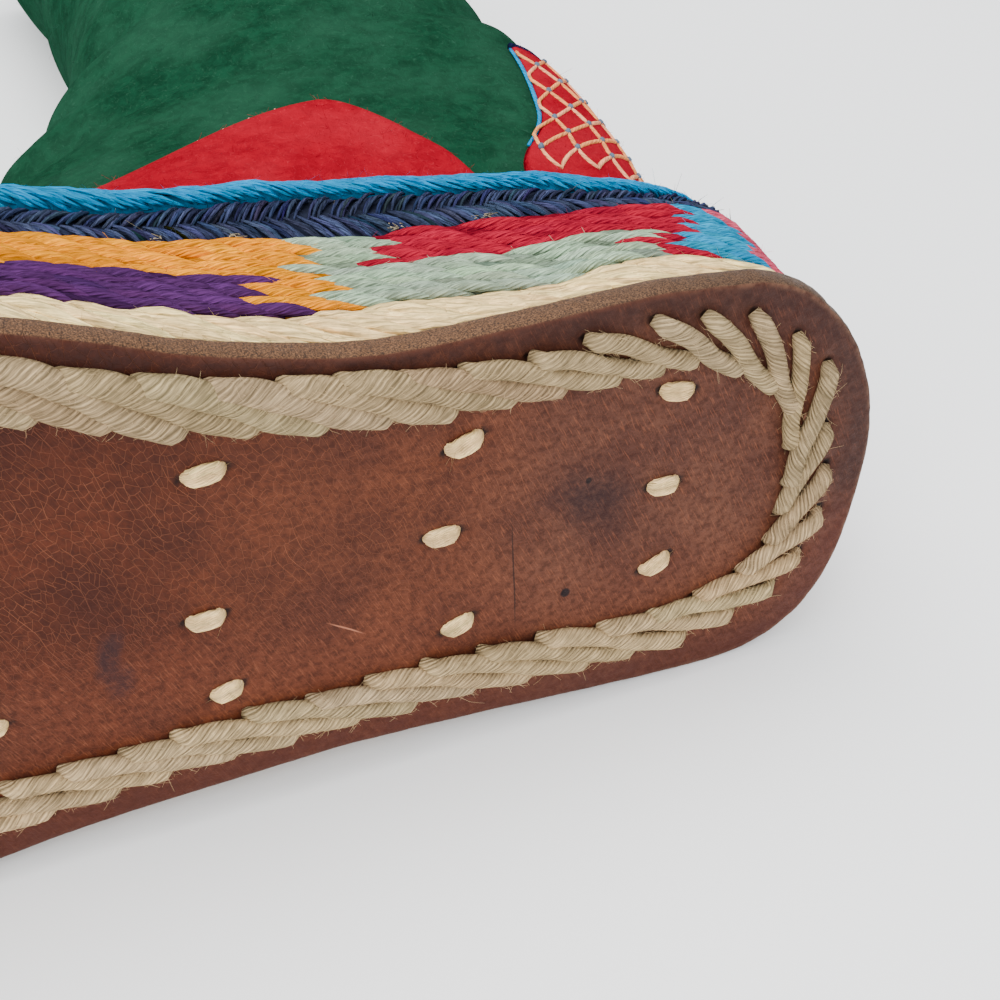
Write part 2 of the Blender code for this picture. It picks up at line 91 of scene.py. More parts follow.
def smoothCurve(places, values):        # passes through the points and never overshoots
    x, y = np.array(places, float), np.array(values, float)
    step = np.diff(x)
    slope = np.diff(y) / step
    rate = np.zeros_like(y)
    rate[0], rate[-1] = slope[0], slope[-1]
    for i in range(1, len(x) - 1):
        if slope[i - 1] * slope[i] > 0:
            before, after = 2 * step[i] + step[i - 1], step[i] + 2 * step[i - 1]
            rate[i] = (before + after) / (before / slope[i - 1] + after / slope[i])

    def value(at):
        at = np.clip(at, x[0], x[-1])
        i = np.clip(np.searchsorted(x, at) - 1, 0, len(step) - 1)
        t = (at - x[i]) / step[i]
        return ((1 + 2 * t) * (1 - t) ** 2 * y[i] + t * t * (3 - 2 * t) * y[i + 1]
                + step[i] * (t * (1 - t) ** 2 * rate[i] - t * t * (1 - t) * rate[i + 1]))

    return value


def tableCurves(table):
    columns = list(zip(*table))
    return [smoothCurve(columns[0], column) for column in columns[1:]]


innerHalf, outerHalf = tableCurves(soleTable)
bandLean, = tableCurves(leanTable)
backLine, frontLine = tableCurves(profileTable)
feltInner, feltOuter, feltWidest, feltTaper, feltRound, feltHeel = tableCurves(sectionTable)
sagCurves, tuckCurves = tableCurves(sagTable), tableCurves(tuckTable)


def fade(t):
    t = np.clip(t, 0.0, 1.0)
    return t * t * (3 - 2 * t)


def unit(vectors):
    return vectors / np.maximum(np.linalg.norm(vectors, axis=-1, keepdims=True), 1e-12)


def toeSpring(u):
    start = lastSizes["springStart"]
    return lastSizes["toeSpring"] * np.clip((u - start) / (lastSizes["length"] - start), 0, None) ** 2


def heelness(u):
    return 1 - fade(u / lastSizes["heelReach"])


def roundedEnd(share, square):
    return (1 - np.clip(1 - share, 0, 1) ** square) ** (1 / square)


def solePlan(angle):        # edge of the sole; angle 0 is the back of the heel, then along the inner side
    u = lastSizes["length"] * (1 - np.cos(angle)) / 2
    inner = np.sin(angle) >= 0
    half = np.where(inner, innerHalf(u), outerHalf(u))
    half = half * np.where(inner, roundedEnd(u / lastSizes["heelCap"], lastSizes["heelSquareInner"]),
                           roundedEnd(u / lastSizes["heelCap"], lastSizes["heelSquareOuter"]))
    half = half * roundedEnd((lastSizes["length"] - u) / lastSizes["toeCap"], lastSizes["toeSquare"])
    return np.stack((u, np.where(inner, half, -half)), -1)


def edgeFrame(angle):       # point of the sole's edge, and the direction into the sole
    nudge = 0.02
    point = solePlan(angle)
    along = unit(solePlan(angle + nudge) - solePlan(angle - nudge))
    return point, np.stack((along[..., 1], -along[..., 0]), -1)


def raised(plan, height):       # plan point to a boot point, lifted with the toe spring
    return np.stack((plan[..., 0], plan[..., 1], height + toeSpring(plan[..., 0])), -1)


def solePoint(angle, inset, height):
    point, inward = edgeFrame(angle)
    return raised(point + np.asarray(inset)[..., None] * inward, height)


def bandInset(u, height):
    up = (height - lastSizes["leather"]) / (lastSizes["bandTop"] - lastSizes["leather"])
    return lastSizes["ledge"] + lastSizes["heelLedge"] * heelness(u) + up * bandLean(u)


def levelled(curves, u, height):        # value at a height between the band's levels
    shares = np.eye(len(bandLevels))
    return sum(np.interp(height, bandLevels, share) * curve(u) for share, curve in zip(shares, curves))


def bandPoint(angle, height, depth):        # depth behind the side band's face
    point, inward = edgeFrame(angle)
    u = point[..., 0]
    inset = bandInset(u, height) + depth + levelled(tuckCurves, u, height)
    return raised(point + inset[..., None] * inward, height + levelled(sagCurves, u, height))


def sectionPlan(angle, height):     # plan of the free felt upper
    back, front, widest = backLine(height), frontLine(height), feltWidest(height)
    u = back + (front - back) * (1 - np.cos(angle)) / 2
    inner = np.sin(angle) >= 0
    behind = np.clip((widest - u) / (widest - back), 0, 1)
    ahead = np.clip((u - widest) / (front - widest), 0, 1)
    half = np.where(inner, feltInner(height), feltOuter(height))
    half = half * np.where(u < widest, (1 - behind ** feltHeel(height)) ** 0.5,
                           (1 - ahead ** feltTaper(height)) ** feltRound(height))
    return np.stack((u, np.where(inner, half, -half)), -1)


def upperPoint(angle, height):      # outer face of the felt, before its creases
    free = fade((height - lastSizes["bandTop"]) / lastSizes["bandBlend"])[..., None]
    point, inward = edgeFrame(angle)
    inset = bandInset(point[..., 0], np.minimum(height, lastSizes["bandTop"]))
    inset = inset + lastSizes["bandThick"] + lastSizes["feltGap"]
    banded = point + inset[..., None] * inward
    return raised((1 - free) * banded + free * sectionPlan(angle, height), height)


# world place of the boot's frame: turned on its outer side, and set against the outsole's own box
yaw = np.radians(lastSizes["yaw"])


def layDown(points):
    u, w, h = np.moveaxis(np.asarray(points, float), -1, 0)
    return np.stack((-np.cos(yaw) * u + np.sin(yaw) * w, h, np.sin(yaw) * u + np.cos(yaw) * w), -1)


solidAngles = np.arange(lastSizes["columns"]) * 2 * np.pi / lastSizes["columns"]
solidEdge = layDown(solePoint(solidAngles, np.zeros(lastSizes["columns"]), 0.0))
bootOrigin = np.array(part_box("outsole")[0]) - solidEdge.min(axis=0) * mm


def toWorld(points):
    return layDown(points) * mm + bootOrigin


class Run:      # a closed line round the boot, by its length in mm from the back of the heel
    def __init__(self, place):
        self.angles = np.linspace(0, 2 * np.pi, 2401)
        spots = place(self.angles)
        self.marks = np.concatenate(([0], np.cumsum(np.linalg.norm(np.diff(spots, axis=0), axis=1))))
        self.length = self.marks[-1]

    def angle(self, at):
        return np.interp(np.mod(at, self.length), self.marks, self.angles)

    def at(self, angle):
        return np.interp(angle, self.angles, self.marks)


def heelAngle(u):       # angle of a station on the inner side
    return np.arccos(1 - 2 * u / lastSizes["length"])


def ripples(x, y, size, seed, waves=9):     # soft seeded unevenness from crossing waves, about -1 to 1
    rng = np.random.default_rng(seed)
    total = np.zeros(np.broadcast(x, y).shape)
    for _ in range(waves):
        turn, phase, stretch = rng.uniform(0, np.pi), rng.uniform(0, 2 * np.pi), rng.uniform(0.6, 1.7)
        total = total + np.sin((x * np.cos(turn) + y * np.sin(turn)) * 2 * np.pi / (size * stretch) + phase)
    return total / waves ** 0.5 / 1.4


# mesh helpers
def addPiece(name, mesh, finish, nodes=()):
    mesh.materials.append(finish)
    piece = bpy.data.objects.new(name, mesh)
    bpy.context.scene.collection.objects.link(piece)
    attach(piece, "root")
    if nodes:
        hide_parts(*nodes)
    print(f"{name}: {sum(len(p.vertices) - 2 for p in mesh.polygons)} triangles")


def gridMesh(name, columns, rows, place):       # a grid put on the boot point by point, its seams merged
    shape = bmesh.new()
    bmesh.ops.create_grid(shape, x_segments=columns, y_segments=rows, size=1)
    flat = np.array([vert.co[:2] for vert in shape.verts])
    i, j = np.rint((flat + 1) / 2 * (columns, rows)).astype(int).T
    spots, extras = place(i, j)
    for vert, spot in zip(shape.verts, toWorld(spots)):
        vert.co = spot
    for key, values in extras.items():
        vector = np.ndim(values) > 1
        layer = (shape.verts.layers.float_vector if vector else shape.verts.layers.float).new(key)
        for vert, value in zip(shape.verts, values.tolist()):
            vert[layer] = value
    bmesh.ops.remove_doubles(shape, verts=shape.verts, dist=1e-7)
    bmesh.ops.dissolve_degenerate(shape, edges=shape.edges, dist=1e-7)
    bmesh.ops.recalc_face_normals(shape, faces=shape.faces)
    mesh = bpy.data.meshes.new(name)
    shape.to_mesh(mesh)
    shape.free()
    mesh.shade_smooth()
    return mesh


def strandForm(paths, across, wide, deep, sides, lobes=0, lobeDepth=0.0, lobeTurn=0.0):
    along = unit(np.gradient(paths, axis=1))        # paths: strand, ring, boot point in mm
    out = unit(np.cross(along, across))
    across = np.cross(out, along)
    steps = np.linalg.norm(np.diff(paths, axis=1), axis=2)
    run = np.concatenate((np.zeros((len(paths), 1)), np.cumsum(steps, axis=1)), axis=1)
    turn = 2 * np.pi * np.arange(sides) / sides
    swell = 1 + lobeDepth * np.cos(lobes * turn - lobeTurn * run[..., None])
    offset = (across[:, :, None] * (np.cos(turn) * swell * wide[..., None])[..., None]
              + out[:, :, None] * (np.sin(turn) * swell * deep[..., None])[..., None])
    return {"points": paths[:, :, None] + offset, "normals": unit(offset), "along": along, "run": run}


def strandMesh(name, parts):        # joins forms into one mesh, each strand closed, with its own tint
    spots, loops, sizes, uvs, tints, first = [], [], [], [], [], 0
    for form, tint in parts:
        count, rings, sides = form["points"].shape[:3]
        index = first + np.arange(count * rings * sides).reshape(count, rings, sides)
        beside = np.roll(index, -1, axis=2)
        quads = np.stack((index[:, :-1], beside[:, :-1], beside[:, 1:], index[:, 1:]), -1).reshape(-1, 4)
        caps = np.concatenate((index[:, 0, ::-1], index[:, -1]))
        around = np.broadcast_to(np.arange(sides) / sides, (count, rings - 1, sides))
        low = np.broadcast_to(form["run"][:, :-1, None], around.shape)
        high = np.broadcast_to(form["run"][:, 1:, None], around.shape)
        onward = around + 1 / sides
        quadUv = np.stack([np.stack(corner, -1) for corner in (
            (low, around), (low, onward), (high, onward), (high, around))], 3)
        capRun = np.concatenate((form["run"][:, 0], form["run"][:, -1]))
        capUv = np.stack((np.repeat(capRun, sides), np.zeros(len(capRun) * sides)), -1)
        spots.append(form["points"].reshape(-1, 3))
        loops += [quads.ravel(), caps.ravel()]
        sizes += [np.full(len(quads), 4), np.full(len(caps), sides)]
        uvs += [quadUv.reshape(-1, 2), capUv]
        tint = np.broadcast_to(np.asarray(tint, float)[:, None, None, :], (count, rings, sides, 3))
        tints.append(tint.reshape(-1, 3))
        first += count * rings * sides
    loops, sizes = np.concatenate(loops).astype(np.int32), np.concatenate(sizes)
    mesh = bpy.data.meshes.new(name)
    mesh.vertices.add(first)
    mesh.vertices.foreach_set("co", toWorld(np.concatenate(spots)).astype(np.float32).ravel())
    mesh.loops.add(len(loops))
    mesh.loops.foreach_set("vertex_index", loops)
    mesh.polygons.add(len(sizes))
    mesh.polygons.foreach_set("loop_start", (np.cumsum(sizes) - sizes).astype(np.int32))
    mesh.update(calc_edges=True)
    mesh.uv_layers.new(name="strand")
    mesh.uv_layers["strand"].data.foreach_set("uv", np.concatenate(uvs).astype(np.float32).ravel())
    dye = mesh.attributes.new("dye", "FLOAT_VECTOR", "POINT")
    dye.data.foreach_set("vector", np.concatenate(tints).astype(np.float32).ravel())
    mesh.shade_smooth()
    return mesh


def addStrands(name, parts, finish, nodes=()):
    addPiece(name, strandMesh(name, parts), finish, nodes)


def everywhere(direction, paths):
    return np.broadcast_to(np.array(direction, float), paths.shape)


def fibreForm(roots, normals, along, size, lift, rng, thick=0.026, rings=2):
    amount = len(roots)     # short hairs, which bend where they have more than two rings
    heading = along * rng.choice((-1, 1), (amount, 1)) + rng.normal(0, 0.4, (amount, 3))
    heading = unit(heading + normals * (lift * rng.uniform(0.2, 1.6, (amount, 1))))
    bend = rng.normal(0, 0.35, (amount, 3)) - normals * 0.25
    reach = size * rng.lognormal(0, 0.4, (amount, 1, 1))
    t = np.linspace(0, 1, rings)[None, :, None]
    paths = roots[:, None] - 0.05 * normals[:, None] + reach * (heading[:, None] * t + bend[:, None] * t * t)
    thin = np.broadcast_to(thick * np.linspace(1.0, 0.45, rings), (amount, rings))
    return strandForm(paths, normals[:, None] + np.zeros((1, rings, 1)), thin, thin, 3)


def fuzzForm(form, tints, outward, count, size, lift, rng, thick=0.026, rings=2):
    strands, steps, sides = form["points"].shape[:3]        # loose hairs on the strands' open sides
    strand = rng.integers(0, strands, count * 3)
    ring, side = rng.integers(1, steps - 1, count * 3), rng.integers(0, sides, count * 3)
    normal = form["normals"][strand, ring, side]
    keep = np.flatnonzero((normal * outward[strand, ring]).sum(-1) > 0.15)[:count]
    strand, ring, side, normal = strand[keep], ring[keep], side[keep], normal[keep]
    roots, along = form["points"][strand, ring, side], form["along"][strand, ring]
    return fibreForm(roots, normal, along, size, lift, rng, thick, rings), tints[strand]


def srgb(r, g, b):      # screen colour to the shader's own scale
    c = np.array((r, g, b)) / 255
    return np.where(c <= 0.04045, c / 12.92, ((c + 0.055) / 1.055) ** 2.4)


def varied(colours, rng, spread):       # each strand dyed a little differently
    lighter = rng.normal(0, spread, (len(colours), 1))
    return np.clip(colours * (1 + lighter + rng.normal(0, spread / 3, colours.shape)), 0, 1)


def dyed(colour, count, rng, spread):
    return varied(np.tile(colour, (count, 1)), rng, spread)


# shader helpers
class Finish:
    def __init__(self, name, **sockets):
        self.material = bpy.data.materials.new(name)
        self.material.use_nodes = True
        self.tree = self.material.node_tree
        self.shader = self.tree.nodes["Principled BSDF"]
        for key, value in sockets.items():
            self.shader.inputs[key].default_value = value

    def node(self, kind, inputs=None, **settings):
        node = self.tree.nodes.new(kind)
        for key, value in settings.items():
            setattr(node, key, value)
        for key, value in (inputs or {}).items():
            self.put(node.inputs[key], value)
        return node

    def put(self, socket, value):
        if isinstance(value, bpy.types.NodeSocket):
            self.tree.links.new(value, socket)
        else:
            socket.default_value = value

    def shade(self, socket, value):
        self.tree.links.new(value, self.shader.inputs[socket])

    def attribute(self, name, output="Fac"):
        return self.node("ShaderNodeAttribute", attribute_name=name).outputs[output]

    def spot(self):     # place on the piece, in metres
        return self.node("ShaderNodeTexCoord").outputs["Object"]

    def maths(self, kind, a, b=0.0, c=0.0):
        return self.node("ShaderNodeMath", {0: a, 1: b, 2: c}, operation=kind).outputs[0]

    def times(self, a, b):
        return self.maths("MULTIPLY", a, b)

    def timesPlus(self, a, b, c):
        return self.maths("MULTIPLY_ADD", a, b, c)

    def vector(self, kind, a, b):
        return self.node("ShaderNodeVectorMath", {0: a, 1: b}, operation=kind).outputs[0]

    def dot(self, a, b):
        return self.node("ShaderNodeVectorMath", {0: a, 1: b}, operation="DOT_PRODUCT").outputs["Value"]

    def size(self, vector):
        return self.node("ShaderNodeVectorMath", {0: vector}, operation="LENGTH").outputs["Value"]

    def scaled(self, vector, factor):       # also a colour, made lighter or darker
        return self.node("ShaderNodeVectorMath", {0: vector, "Scale": factor}, operation="SCALE").outputs[0]

    def combine(self, x, y, z=0.0):
        return self.node("ShaderNodeCombineXYZ", {0: x, 1: y, 2: z}).outputs[0]

    def noise(self, vector, scale, detail=2.0, rough=0.5, output="Fac"):
        inputs = {"Vector": vector, "Scale": scale, "Detail": detail, "Roughness": rough}
        return self.node("ShaderNodeTexNoise", inputs).outputs[output]

    def cells(self, vector, dimensions="2D"):       # distance to the edges of scattered cells
        settings = {"feature": "DISTANCE_TO_EDGE", "voronoi_dimensions": dimensions}
        node = self.node("ShaderNodeTexVoronoi", {"Vector": vector, "Scale": 1.0}, **settings)
        return node.outputs["Distance"]

    def step(self, value, low, high, start=0.0, end=1.0):       # eased change from low to high
        inputs = {"Value": value, "From Min": low, "From Max": high, "To Min": start, "To Max": end}
        return self.node("ShaderNodeMapRange", inputs, interpolation_type="SMOOTHSTEP").outputs["Result"]

    def mix(self, share, a, b):
        node = self.node("ShaderNodeMix", {0: share}, data_type="RGBA")
        for socket, colour in ((node.inputs[6], a), (node.inputs[7], b)):
            self.put(socket, colour if isinstance(colour, bpy.types.NodeSocket) else (*colour, 1))
        return node.outputs[2]

    def dye(self, tone):        # the strand's own tint, with the painted shade and light that the cores and some strands carry, made lighter or darker
        self.shade("Base Color", self.scaled(self.attribute("dye", "Vector"), tone))

    def relief(self, height, distance, strength=1.0):
        inputs = {"Height": height, "Distance": distance, "Strength": strength}
        self.shade("Normal", self.node("ShaderNodeBump", inputs).outputs["Normal"])


def yarnFinish(name, plies, pitch, ridge, grooveShade, streaks=0.3, rough=0.92, fine=9.0):
    # twist lines run round each strand: plies of them, each one turn in plies * pitch mm
    finish = Finish(name, **{"Roughness": rough, "IOR": 1.03})
    uv, spot = finish.node("ShaderNodeUVMap", uv_map="strand").outputs[0], finish.spot()
    twist, along = finish.dot(uv, (1 / pitch, plies, 0)), finish.dot(uv, (1, 0, 0))
    wobble = finish.timesPlus(finish.noise(spot, 260, 1), 0.6, twist)
    ply = finish.maths("SINE", finish.times(wobble, 2 * np.pi))
    apart = finish.dot(spot, (90, 70, 110))
    laid = finish.combine(finish.times(wobble, fine / 3), finish.times(along, 0.3), apart)
    fibre = finish.noise(laid, 1.0, 3, 0.65)
    # the grooves between the plies are painted darker: painted shade
    plyGrooveShade = finish.step(ply, -1.0, 0.1, 1 - grooveShade, 1.0)
    tone = finish.times(plyGrooveShade, finish.step(fibre, 0.3, 0.72, 1 - streaks, 1 + 0.6 * streaks))
    finish.dye(finish.times(tone, finish.step(finish.noise(spot, 420, 2), 0.25, 0.75, 0.84, 1.12)))
    finish.relief(finish.timesPlus(ply, 0.35, finish.times(fibre, 1.2)), ridge * mm)
    return finish.material


def fuzzFinish(name):
    finish = Finish(name, **{"Roughness": 0.9, "IOR": 1.03})
    finish.dye(finish.step(finish.noise(finish.spot(), 500, 1), 0.3, 0.7, 0.8, 1.2))
    return finish.material


# camera, floor and light first: every piece is judged through them
cameraSet = {"azimuth": 22, "elevation": 40, "distance": 0.22808, "lens": 59.4,
             "target": (61.3, 6.85, 0.0)}       # boot point in the middle of the picture


def addCamera():
    side, down = np.radians(cameraSet["azimuth"]), np.radians(cameraSet["elevation"])
    forward = np.array((np.sin(side) * np.cos(down), np.cos(side) * np.cos(down), -np.sin(down)))
    data = bpy.data.cameras.new("photoView")
    data.lens, data.sensor_width = cameraSet["lens"], 36
    data.clip_start = 0.01
    camera = bpy.data.objects.new("photoView", data)
    camera.location = toWorld(np.array(cameraSet["target"])) - cameraSet["distance"] * forward
    camera.rotation_euler = Vector(forward).to_track_quat("-Z", "Y").to_euler()
    bpy.context.scene.collection.objects.link(camera)
    bpy.context.scene.camera = camera


lightSet = {"sky": (0.95, 0.97, 1.0), "skyPower": 1.27,
            "lamps": (      # name, place, aimed at, size, watts, colour
                ("window", (-0.2, 0.02, 1.1), (0.03, -0.12, 0.04), 0.9, 19, (1.0, 0.98, 0.95)),
                ("front", (-0.5, -0.95, 0.7), (0.02, -0.2, 0.03), 0.8, 13, (1.0, 0.97, 0.94)))}


def addLights():
    world = bpy.data.worlds.new("softSky")
    world.use_nodes = True
    sky = world.node_tree.nodes["Background"]
    sky.inputs["Color"].default_value = (*lightSet["sky"], 1)
    sky.inputs["Strength"].default_value = lightSet["skyPower"]
    bpy.context.scene.world = world
    for name, place, aim, size, watts, colour in lightSet["lamps"]:
        data = bpy.data.lights.new(name, "AREA")
        data.size, data.energy, data.color = size, watts, colour
        lamp = bpy.data.objects.new(name, data)
        lamp.location = place
        lamp.rotation_euler = (Vector(aim) - Vector(place)).to_track_quat("-Z", "Y").to_euler()
        bpy.context.scene.collection.objects.link(lamp)


floorSet = {"half": 3.0, "colour": srgb(249, 251, 253)}


def addFloor():
    shape = bmesh.new()
    bmesh.ops.create_grid(shape, x_segments=1, y_segments=1, size=floorSet["half"])
    mesh = bpy.data.meshes.new("tableTop")
    shape.to_mesh(mesh)
    shape.free()
    finish = Finish("paleTable", **{"Base Color": (*floorSet["colour"], 1), "Roughness": 0.7})
    mesh.materials.append(finish.material)
    floor = bpy.data.objects.new("tableTop", mesh)
    bpy.context.scene.collection.objects.link(floor)


addCamera()
addLights()
addFloor()
print("camera, light and floor ready")

# holes in the leather: ends of the border cords and of the tacks, filled in below
borderSet = {"inset": 8.6, "skew": 1.4, "lane": 2.9, "half": 1.42, "innerSwell": 0.5, "outerSwell": 0.1,
             "flat": 0.86, "bend": 0.026, "proud": 0.85, "sink": 0.6, "dive": 1.6, "pitch": 9.2, "span": 26.0,
             "rings": 30, "sides": 15, "lobes": 3, "lobeDepth": 0.05, "lobeTurn": 0.75, "fuzz": 7000,
             "colour": srgb(172, 149, 113), "outerPaintedLight": 1.25, "pitShift": 0.9, "seed": 11,
             "placed": (        # stitches round the heel: outer end, then inner end, from the heel and across
                 (119.6, 37.4, 95.5, 26.7), (110.7, 34.9, 86.5, 25.3), (102.2, 32.8, 78.0, 24.9),
                 (93.0, 31.5, 69.3, 24.1), (85.7, 30.8, 60.6, 24.8), (77.4, 29.9, 53.4, 24.9),
                 (68.9, 29.6, 45.4, 25.4), (59.0, 29.9, 38.8, 25.6), (51.3, 31.4, 33.6, 25.7),
                 (41.4, 32.8, 26.3, 22.9), (33.6, 32.4, 20.1, 18.6), (25.9, 31.5, 16.1, 14.1),
                 (18.0, 26.9, 15.0, 6.8), (11.7, 21.1, 13.9, -0.3), (9.4, 9.8, 14.2, -5.7),
                 (7.5, 1.8, 14.9, -11.2), (6.6, -6.9, 18.9, -16.4), (8.5, -14.9, 25.9, -20.0),
                 (12.0, -20.6, 34.0, -21.9), (18.6, -24.8, 42.3, -22.1), (26.8, -27.4, 52.5, -21.6),
                 (35.4, -27.5, 62.0, -21.7), (43.2, -27.9, 70.9, -21.9), (52.8, -27.8, 79.6, -22.9),
                 (61.7, -27.5, 88.4, -24.1), (71.5, -28.3, 97.7, -24.0), (80.0, -28.2, 108.0, -25.2),
                 (89.7, -29.4, 115.4, -26.7), (98.4, -29.8, 123.8, -27.4), (108.3, -31.0, 132.0, -28.1))}


def borderInset(angle):
    return borderSet["inset"] - borderSet["skew"] * np.sin(angle)


borderRun = Run(lambda angle: solePoint(angle, borderInset(angle), 0.0))


def borderMark(spot):       # length along the border nearest to a place on the tread
    line = solePoint(borderRun.angles, borderInset(borderRun.angles), 0.0)[:, :2]
    return borderRun.marks[np.argmin(np.linalg.norm(line - spot, axis=1))]


def borderPaths():      # stitches from the outer lane to the inner one, evenly spaced round the toe
    rng = np.random.default_rng(borderSet["seed"])
    t = np.linspace(0, 1, borderSet["rings"])[None]
    placed = np.array(borderSet["placed"])
    chord = placed[:, 2:] - placed[:, :2]
    beside = np.stack((chord[:, 1], -chord[:, 0]), -1)
    bend = borderSet["bend"] * np.sin(2 * np.pi * t)[..., None]
    seen = placed[:, None, :2] + t[..., None] * chord[:, None] + bend * beside[:, None]
    first, last = (borderMark((placed[k, :2] + placed[k, 2:]) / 2) for k in (0, -1))
    count = round((last - first) / borderSet["pitch"]) - 1
    middles = np.linspace(first, last, count + 2)[1:-1, None]
    angle = borderRun.angle(middles + (0.5 - t) * borderSet["span"] * (1 + rng.normal(0, 0.03, (count, 1))))
    across = borderSet["lane"] * (2 * t - 1 - 0.25 * np.sin(2 * np.pi * t)) + rng.normal(0, 0.2, (count, 1))
    hidden = solePoint(angle, borderInset(angle) + across, 0.0)[..., :2]
    plan = np.concatenate((seen, hidden))
    length = np.linalg.norm(np.diff(plan, axis=1), axis=2).sum(axis=1)[:, None]
    rise = fade(np.minimum(t, 1 - t) * length / borderSet["dive"])
    top = borderSet["proud"] + rng.normal(0, 0.1, (len(plan), 1))
    top = top + 0.12 * np.sin(4 * t + rng.uniform(0, 6.3, (len(plan), 1)))
    u, w = plan[:, borderSet["rings"] // 2].T
    inner = borderSet["innerSwell"] * fade((u - 45) / 50)
    outer = borderSet["outerSwell"] * fade((u - 20) / 20)
    half = (borderSet["half"] + np.where(w > 0, inner, outer))[:, None]
    return raised(plan, borderSet["sink"] - (borderSet["sink"] + top) * rise), rise, half


tackSet = {"half": 1.55, "proud": 0.3, "sink": 0.6, "strands": 7, "thread": 0.5, "rings": 13, "sides": 7,
           "fuzz": 500, "colour": srgb(250, 212, 152), "seed": 21,
           "places": (      # from the heel, across, turn in degrees, length
               (35.8, 20.6, -8, 5.4), (35.3, 3.9, 2, 5.0), (34.4, -11.2, 30, 5.2), (67.3, 17.6, 24, 5.6),
               (69.5, 2.3, 4, 5.4), (65.9, -15.3, 26, 5.2), (102.5, 19.9, 10, 5.9), (102.8, -4.7, 6, 5.4),
               (100.2, -18.8, 20, 4.8), (132.4, -16.6, 10, 5.4), (134, 3, 8, 5.4), (133, 24, 12, 5.6),
               (165, 30, 6, 5.4), (166, 10, 10, 5.4), (165, -12, 8, 5.2), (163, -30, 14, 5.2),
               (198, 22, 8, 5.2), (199, 0, 4, 5.4), (197, -22, 12, 5.2), (228, 10, 8, 5.0),
               (227, -12, 10, 5.0))}


def tackEnds():
    ends = []
    for u, w, turn, length in tackSet["places"]:
        aim = np.array((-np.cos(np.radians(turn)), np.sin(np.radians(turn)))) * length / 2
        ends += [(u - aim[0], w - aim[1]), (u + aim[0], w + aim[1])]
    return np.array(ends)


# leather outsole
leatherSet = {"rungs": 340, "across": 76, "edge": 9, "back": 4, "round": 0.75, "wave": 0.22, "wear": 0.16,
              "tackPit": (0.6, 1.4), "cordPit": (0.6, 1.3)}        # depth and size of the pits


def gapTo(spots, u, w):     # distance from places on the tread to the nearest of some spots
    tree = KDTree(len(spots))
    for k, spot in enumerate(spots):
        tree.insert((spot[0], spot[1], 0), k)
    tree.balance()
    return np.array([tree.find((a, b, 0))[2] for a, b in zip(u, w)])


def leatherLift(u, w, cordEnds):        # how far the tread stands out, and how near a hole it is, for painted shade in the holes
    lift = leatherSet["wave"] * ripples(u, w, 34, 5) + 0.05 * ripples(u, w, 6, 6)
    dark = np.zeros_like(u)
    for ends, (depth, size) in ((tackEnds(), leatherSet["tackPit"]), (cordEnds, leatherSet["cordPit"])):
        gap = gapTo(ends, u, w)
        lift = lift - depth * np.exp(-(gap / size) ** 2)
        dark = np.maximum(dark, np.exp(-(gap / (size * 0.85)) ** 2))
    return lift, dark


def addLeather(cordEnds):
    rungs, across, back = (leatherSet[key] for key in ("rungs", "across", "back"))
    thick = lastSizes["leather"]
    turns = np.linspace(0, np.pi, leatherSet["edge"])
    angle = np.pi * np.arange(rungs + 1) / rungs

    def edgeLines(angle, size, seed):       # lines along the worn cut edge, from the tread to the seat
        run = np.abs(angle) * 130
        rough = ripples(run, 0 * run, size, seed) + 0.6 * ripples(run, 0 * run, 3, seed + 1)
        rough = leatherSet["wear"] * rough
        insets = leatherSet["round"] * (1 - np.sin(turns) ** 0.7)
        heights = thick / 2 - (thick / 2) * np.cos(turns)
        return np.array([solePoint(angle, inset + np.sin(turn) * rough, height)
                         for inset, height, turn in zip(insets, heights, turns)])

    inner, outer = edgeLines(angle, 9, 7), edgeLines(-angle, 8, 9)
    share = np.linspace(0, 1, across + 1)[:, None, None]
    tread = (1 - share) * inner[0] + share * outer[0]
    share = np.linspace(0, 1, back + 1)[:, None, None]
    seat = (1 - share) * outer[-1] + share * inner[-1]
    tour = np.concatenate((tread, outer[1:-1], seat, inner[-2:0:-1]))       # once round each rung
    u, w = tour[..., 0].ravel(), tour[..., 1].ravel()
    gap = gapTo(solePlan(np.linspace(0, 2 * np.pi, 1600)), u, w).reshape(tour.shape[:2])
    lift, dark = (values.reshape(tour.shape[:2]) for values in leatherLift(u, w, cordEnds))
    onTread = np.zeros(tour.shape[:2])
    onTread[:across + 1] = 1
    face = 1 - np.clip((tour[..., 2] - toeSpring(tour[..., 0])) / thick, 0, 1)
    tour[..., 2] -= lift * onTread * fade(gap / 4)
    dark = dark * onTread

    def place(i, j):
        row = j % len(tour)
        spots = tour[row, i]
        return spots, {"boot": spots, "rim": gap[row, i], "pit": dark[row, i], "face": face[row, i]}

    mesh = gridMesh("soleLeather", rungs, len(tour), place)
    addPiece("soleLeather", mesh, leatherFinish(), ["outsole"])


